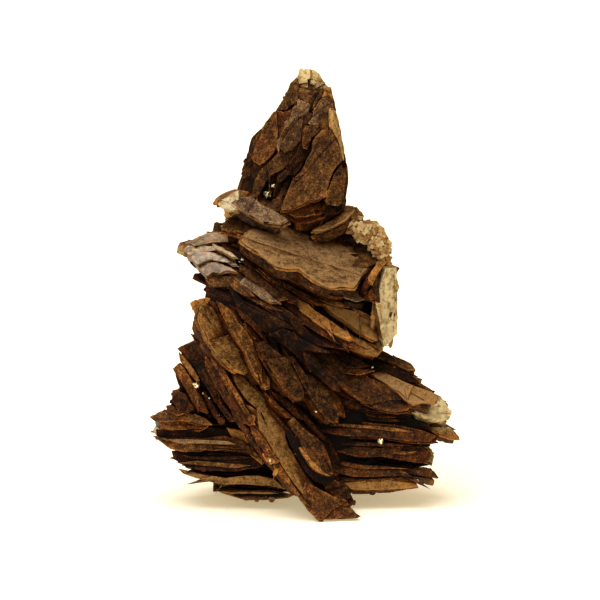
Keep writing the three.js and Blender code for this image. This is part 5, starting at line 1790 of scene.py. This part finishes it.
class SIDERITE_OT_pyrite(Operator):
    """Builds the pyrite crystals and the tiny pyrite specks"""

    bl_idname = "siderite.pyrite"
    bl_label = "Pyrite"

    def execute(self, context):
        random = np.random.default_rng(PYRITE_SEED)
        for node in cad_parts:
            if not node.startswith("pyrite"):
                continue
            low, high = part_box(node)
            middle = (Vector(low) + Vector(high)) / 2
            radius = (Vector(high) - Vector(low)).length / BOX_DIAGONAL
            mesh = pyrite_cluster(node + "_crystals", middle, radius, CLUSTER_CRYSTALS, random)
            add_piece(mesh, finish(pyrite_crystal), "pyrite", node)
        solid = tree_of(siderite_pieces())
        whole = bmesh.new()
        for across, up, radius in PYRITE_SPECKS:
            place = seen_at(across - LAYOUT_MIDDLE[0], up, solid)
            if place is None:
                raise ValueError("a pyrite speck lies beside the siderite")
            mesh = pyrite_cluster("speck", place * MM, radius * MM, SPECK_CRYSTALS, random)
            whole.from_mesh(mesh)
            bpy.data.meshes.remove(mesh)
        mesh = bpy.data.meshes.new("pyrite_specks")
        whole.to_mesh(mesh)
        whole.free()
        add_piece(mesh, finish(pyrite_crystal), "pyrite")
        return {"FINISHED"}


class SIDERITE_OT_stage(Operator):
    """Sets up the paper floor, the soft lights and the camera"""

    bl_idname = "siderite.stage"
    bl_label = "Studio"

    def execute(self, context):
        studio = context.scene.siderite_studio
        scene = context.scene
        half = studio.floor / 2
        floor = bpy.data.meshes.new("floor")
        corners = [(-half, -half, 0), (half, -half, 0), (half, half, 0), (-half, half, 0)]
        floor.from_pydata(corners, [], [(0, 1, 2, 3)])
        paper = bpy.data.objects.new("floor", floor)
        scene.collection.objects.link(paper)
        floor.materials.append(pale_paper())
        world = bpy.data.worlds.new("studio")
        scene.world = world
        world.use_nodes = True
        background = world.node_tree.nodes["Background"]
        background.inputs["Color"].default_value = linear(SKY_COLOUR)
        background.inputs["Strength"].default_value = studio.sky
        for name, (turn, lift, spread) in SUNS.items():
            light = bpy.data.lights.new(name, "SUN")
            light.angle = math.radians(spread)
            light.energy = getattr(studio, name)
            lamp = bpy.data.objects.new(name, light)
            aside = math.radians(turn)
            high = math.radians(lift)
            flat = math.cos(high)
            towards = Vector((math.sin(aside) * flat, -math.cos(aside) * flat, math.sin(high)))
            lamp.rotation_euler = towards.to_track_quat("Z", "Y").to_euler()
            scene.collection.objects.link(lamp)
        camera = bpy.data.cameras.new("camera")
        camera.lens = camera.sensor_width * CAMERA_DISTANCE / VIEW_WIDTH
        camera.clip_start = 0.01
        camera.clip_end = 10
        eye = bpy.data.objects.new("camera", camera)
        target = Vector(CAMERA_TARGET) * MM
        eye.location = target + Vector((0, -VIEW_UP, VIEW_IN)) * CAMERA_DISTANCE * MM
        eye.rotation_euler = (target - eye.location).to_track_quat("-Z", "Y").to_euler()
        scene.collection.objects.link(eye)
        scene.camera = eye
        scene.view_settings.view_transform = "Standard"
        return {"FINISHED"}


class SIDERITE_PT_panel(Panel):
    """Lists the sizes, the colours and the pieces"""

    bl_idname = "SIDERITE_PT_panel"
    bl_label = "Siderite with pyrite"
    bl_space_type = "VIEW_3D"
    bl_region_type = "UI"
    bl_category = "Siderite"

    def draw(self, context):
        scene = context.scene
        for group in (scene.siderite_sizes, scene.siderite_colours, scene.siderite_studio):
            box = self.layout.box()
            for key in group.__annotations__:
                box.prop(group, key)
        for kind in OPERATORS:
            self.layout.operator(kind.bl_idname)


OPERATORS = (
    SIDERITE_OT_fans,
    SIDERITE_OT_hearts,
    SIDERITE_OT_front_plates,
    SIDERITE_OT_crust,
    SIDERITE_OT_stain,
    SIDERITE_OT_grains,
    SIDERITE_OT_pyrite,
    SIDERITE_OT_stage,
)
GROUPS = {
    "siderite_sizes": SideriteSizes,
    "siderite_colours": SideriteColours,
    "siderite_studio": StudioSettings,
}


def register():
    for kind in (*GROUPS.values(), *OPERATORS, SIDERITE_PT_panel):
        bpy.utils.register_class(kind)
    for key, group in GROUPS.items():
        setattr(bpy.types.Scene, key, PointerProperty(type=group))


def unregister():
    for key in GROUPS:
        delattr(bpy.types.Scene, key)
    for kind in (*GROUPS.values(), *OPERATORS, SIDERITE_PT_panel):
        bpy.utils.unregister_class(kind)


def main():
    register()
    for kind in OPERATORS:
        call = bpy.ops
        for part in kind.bl_idname.split("."):
            call = getattr(call, part)
        call()


if __name__ == "__main__":
    main()
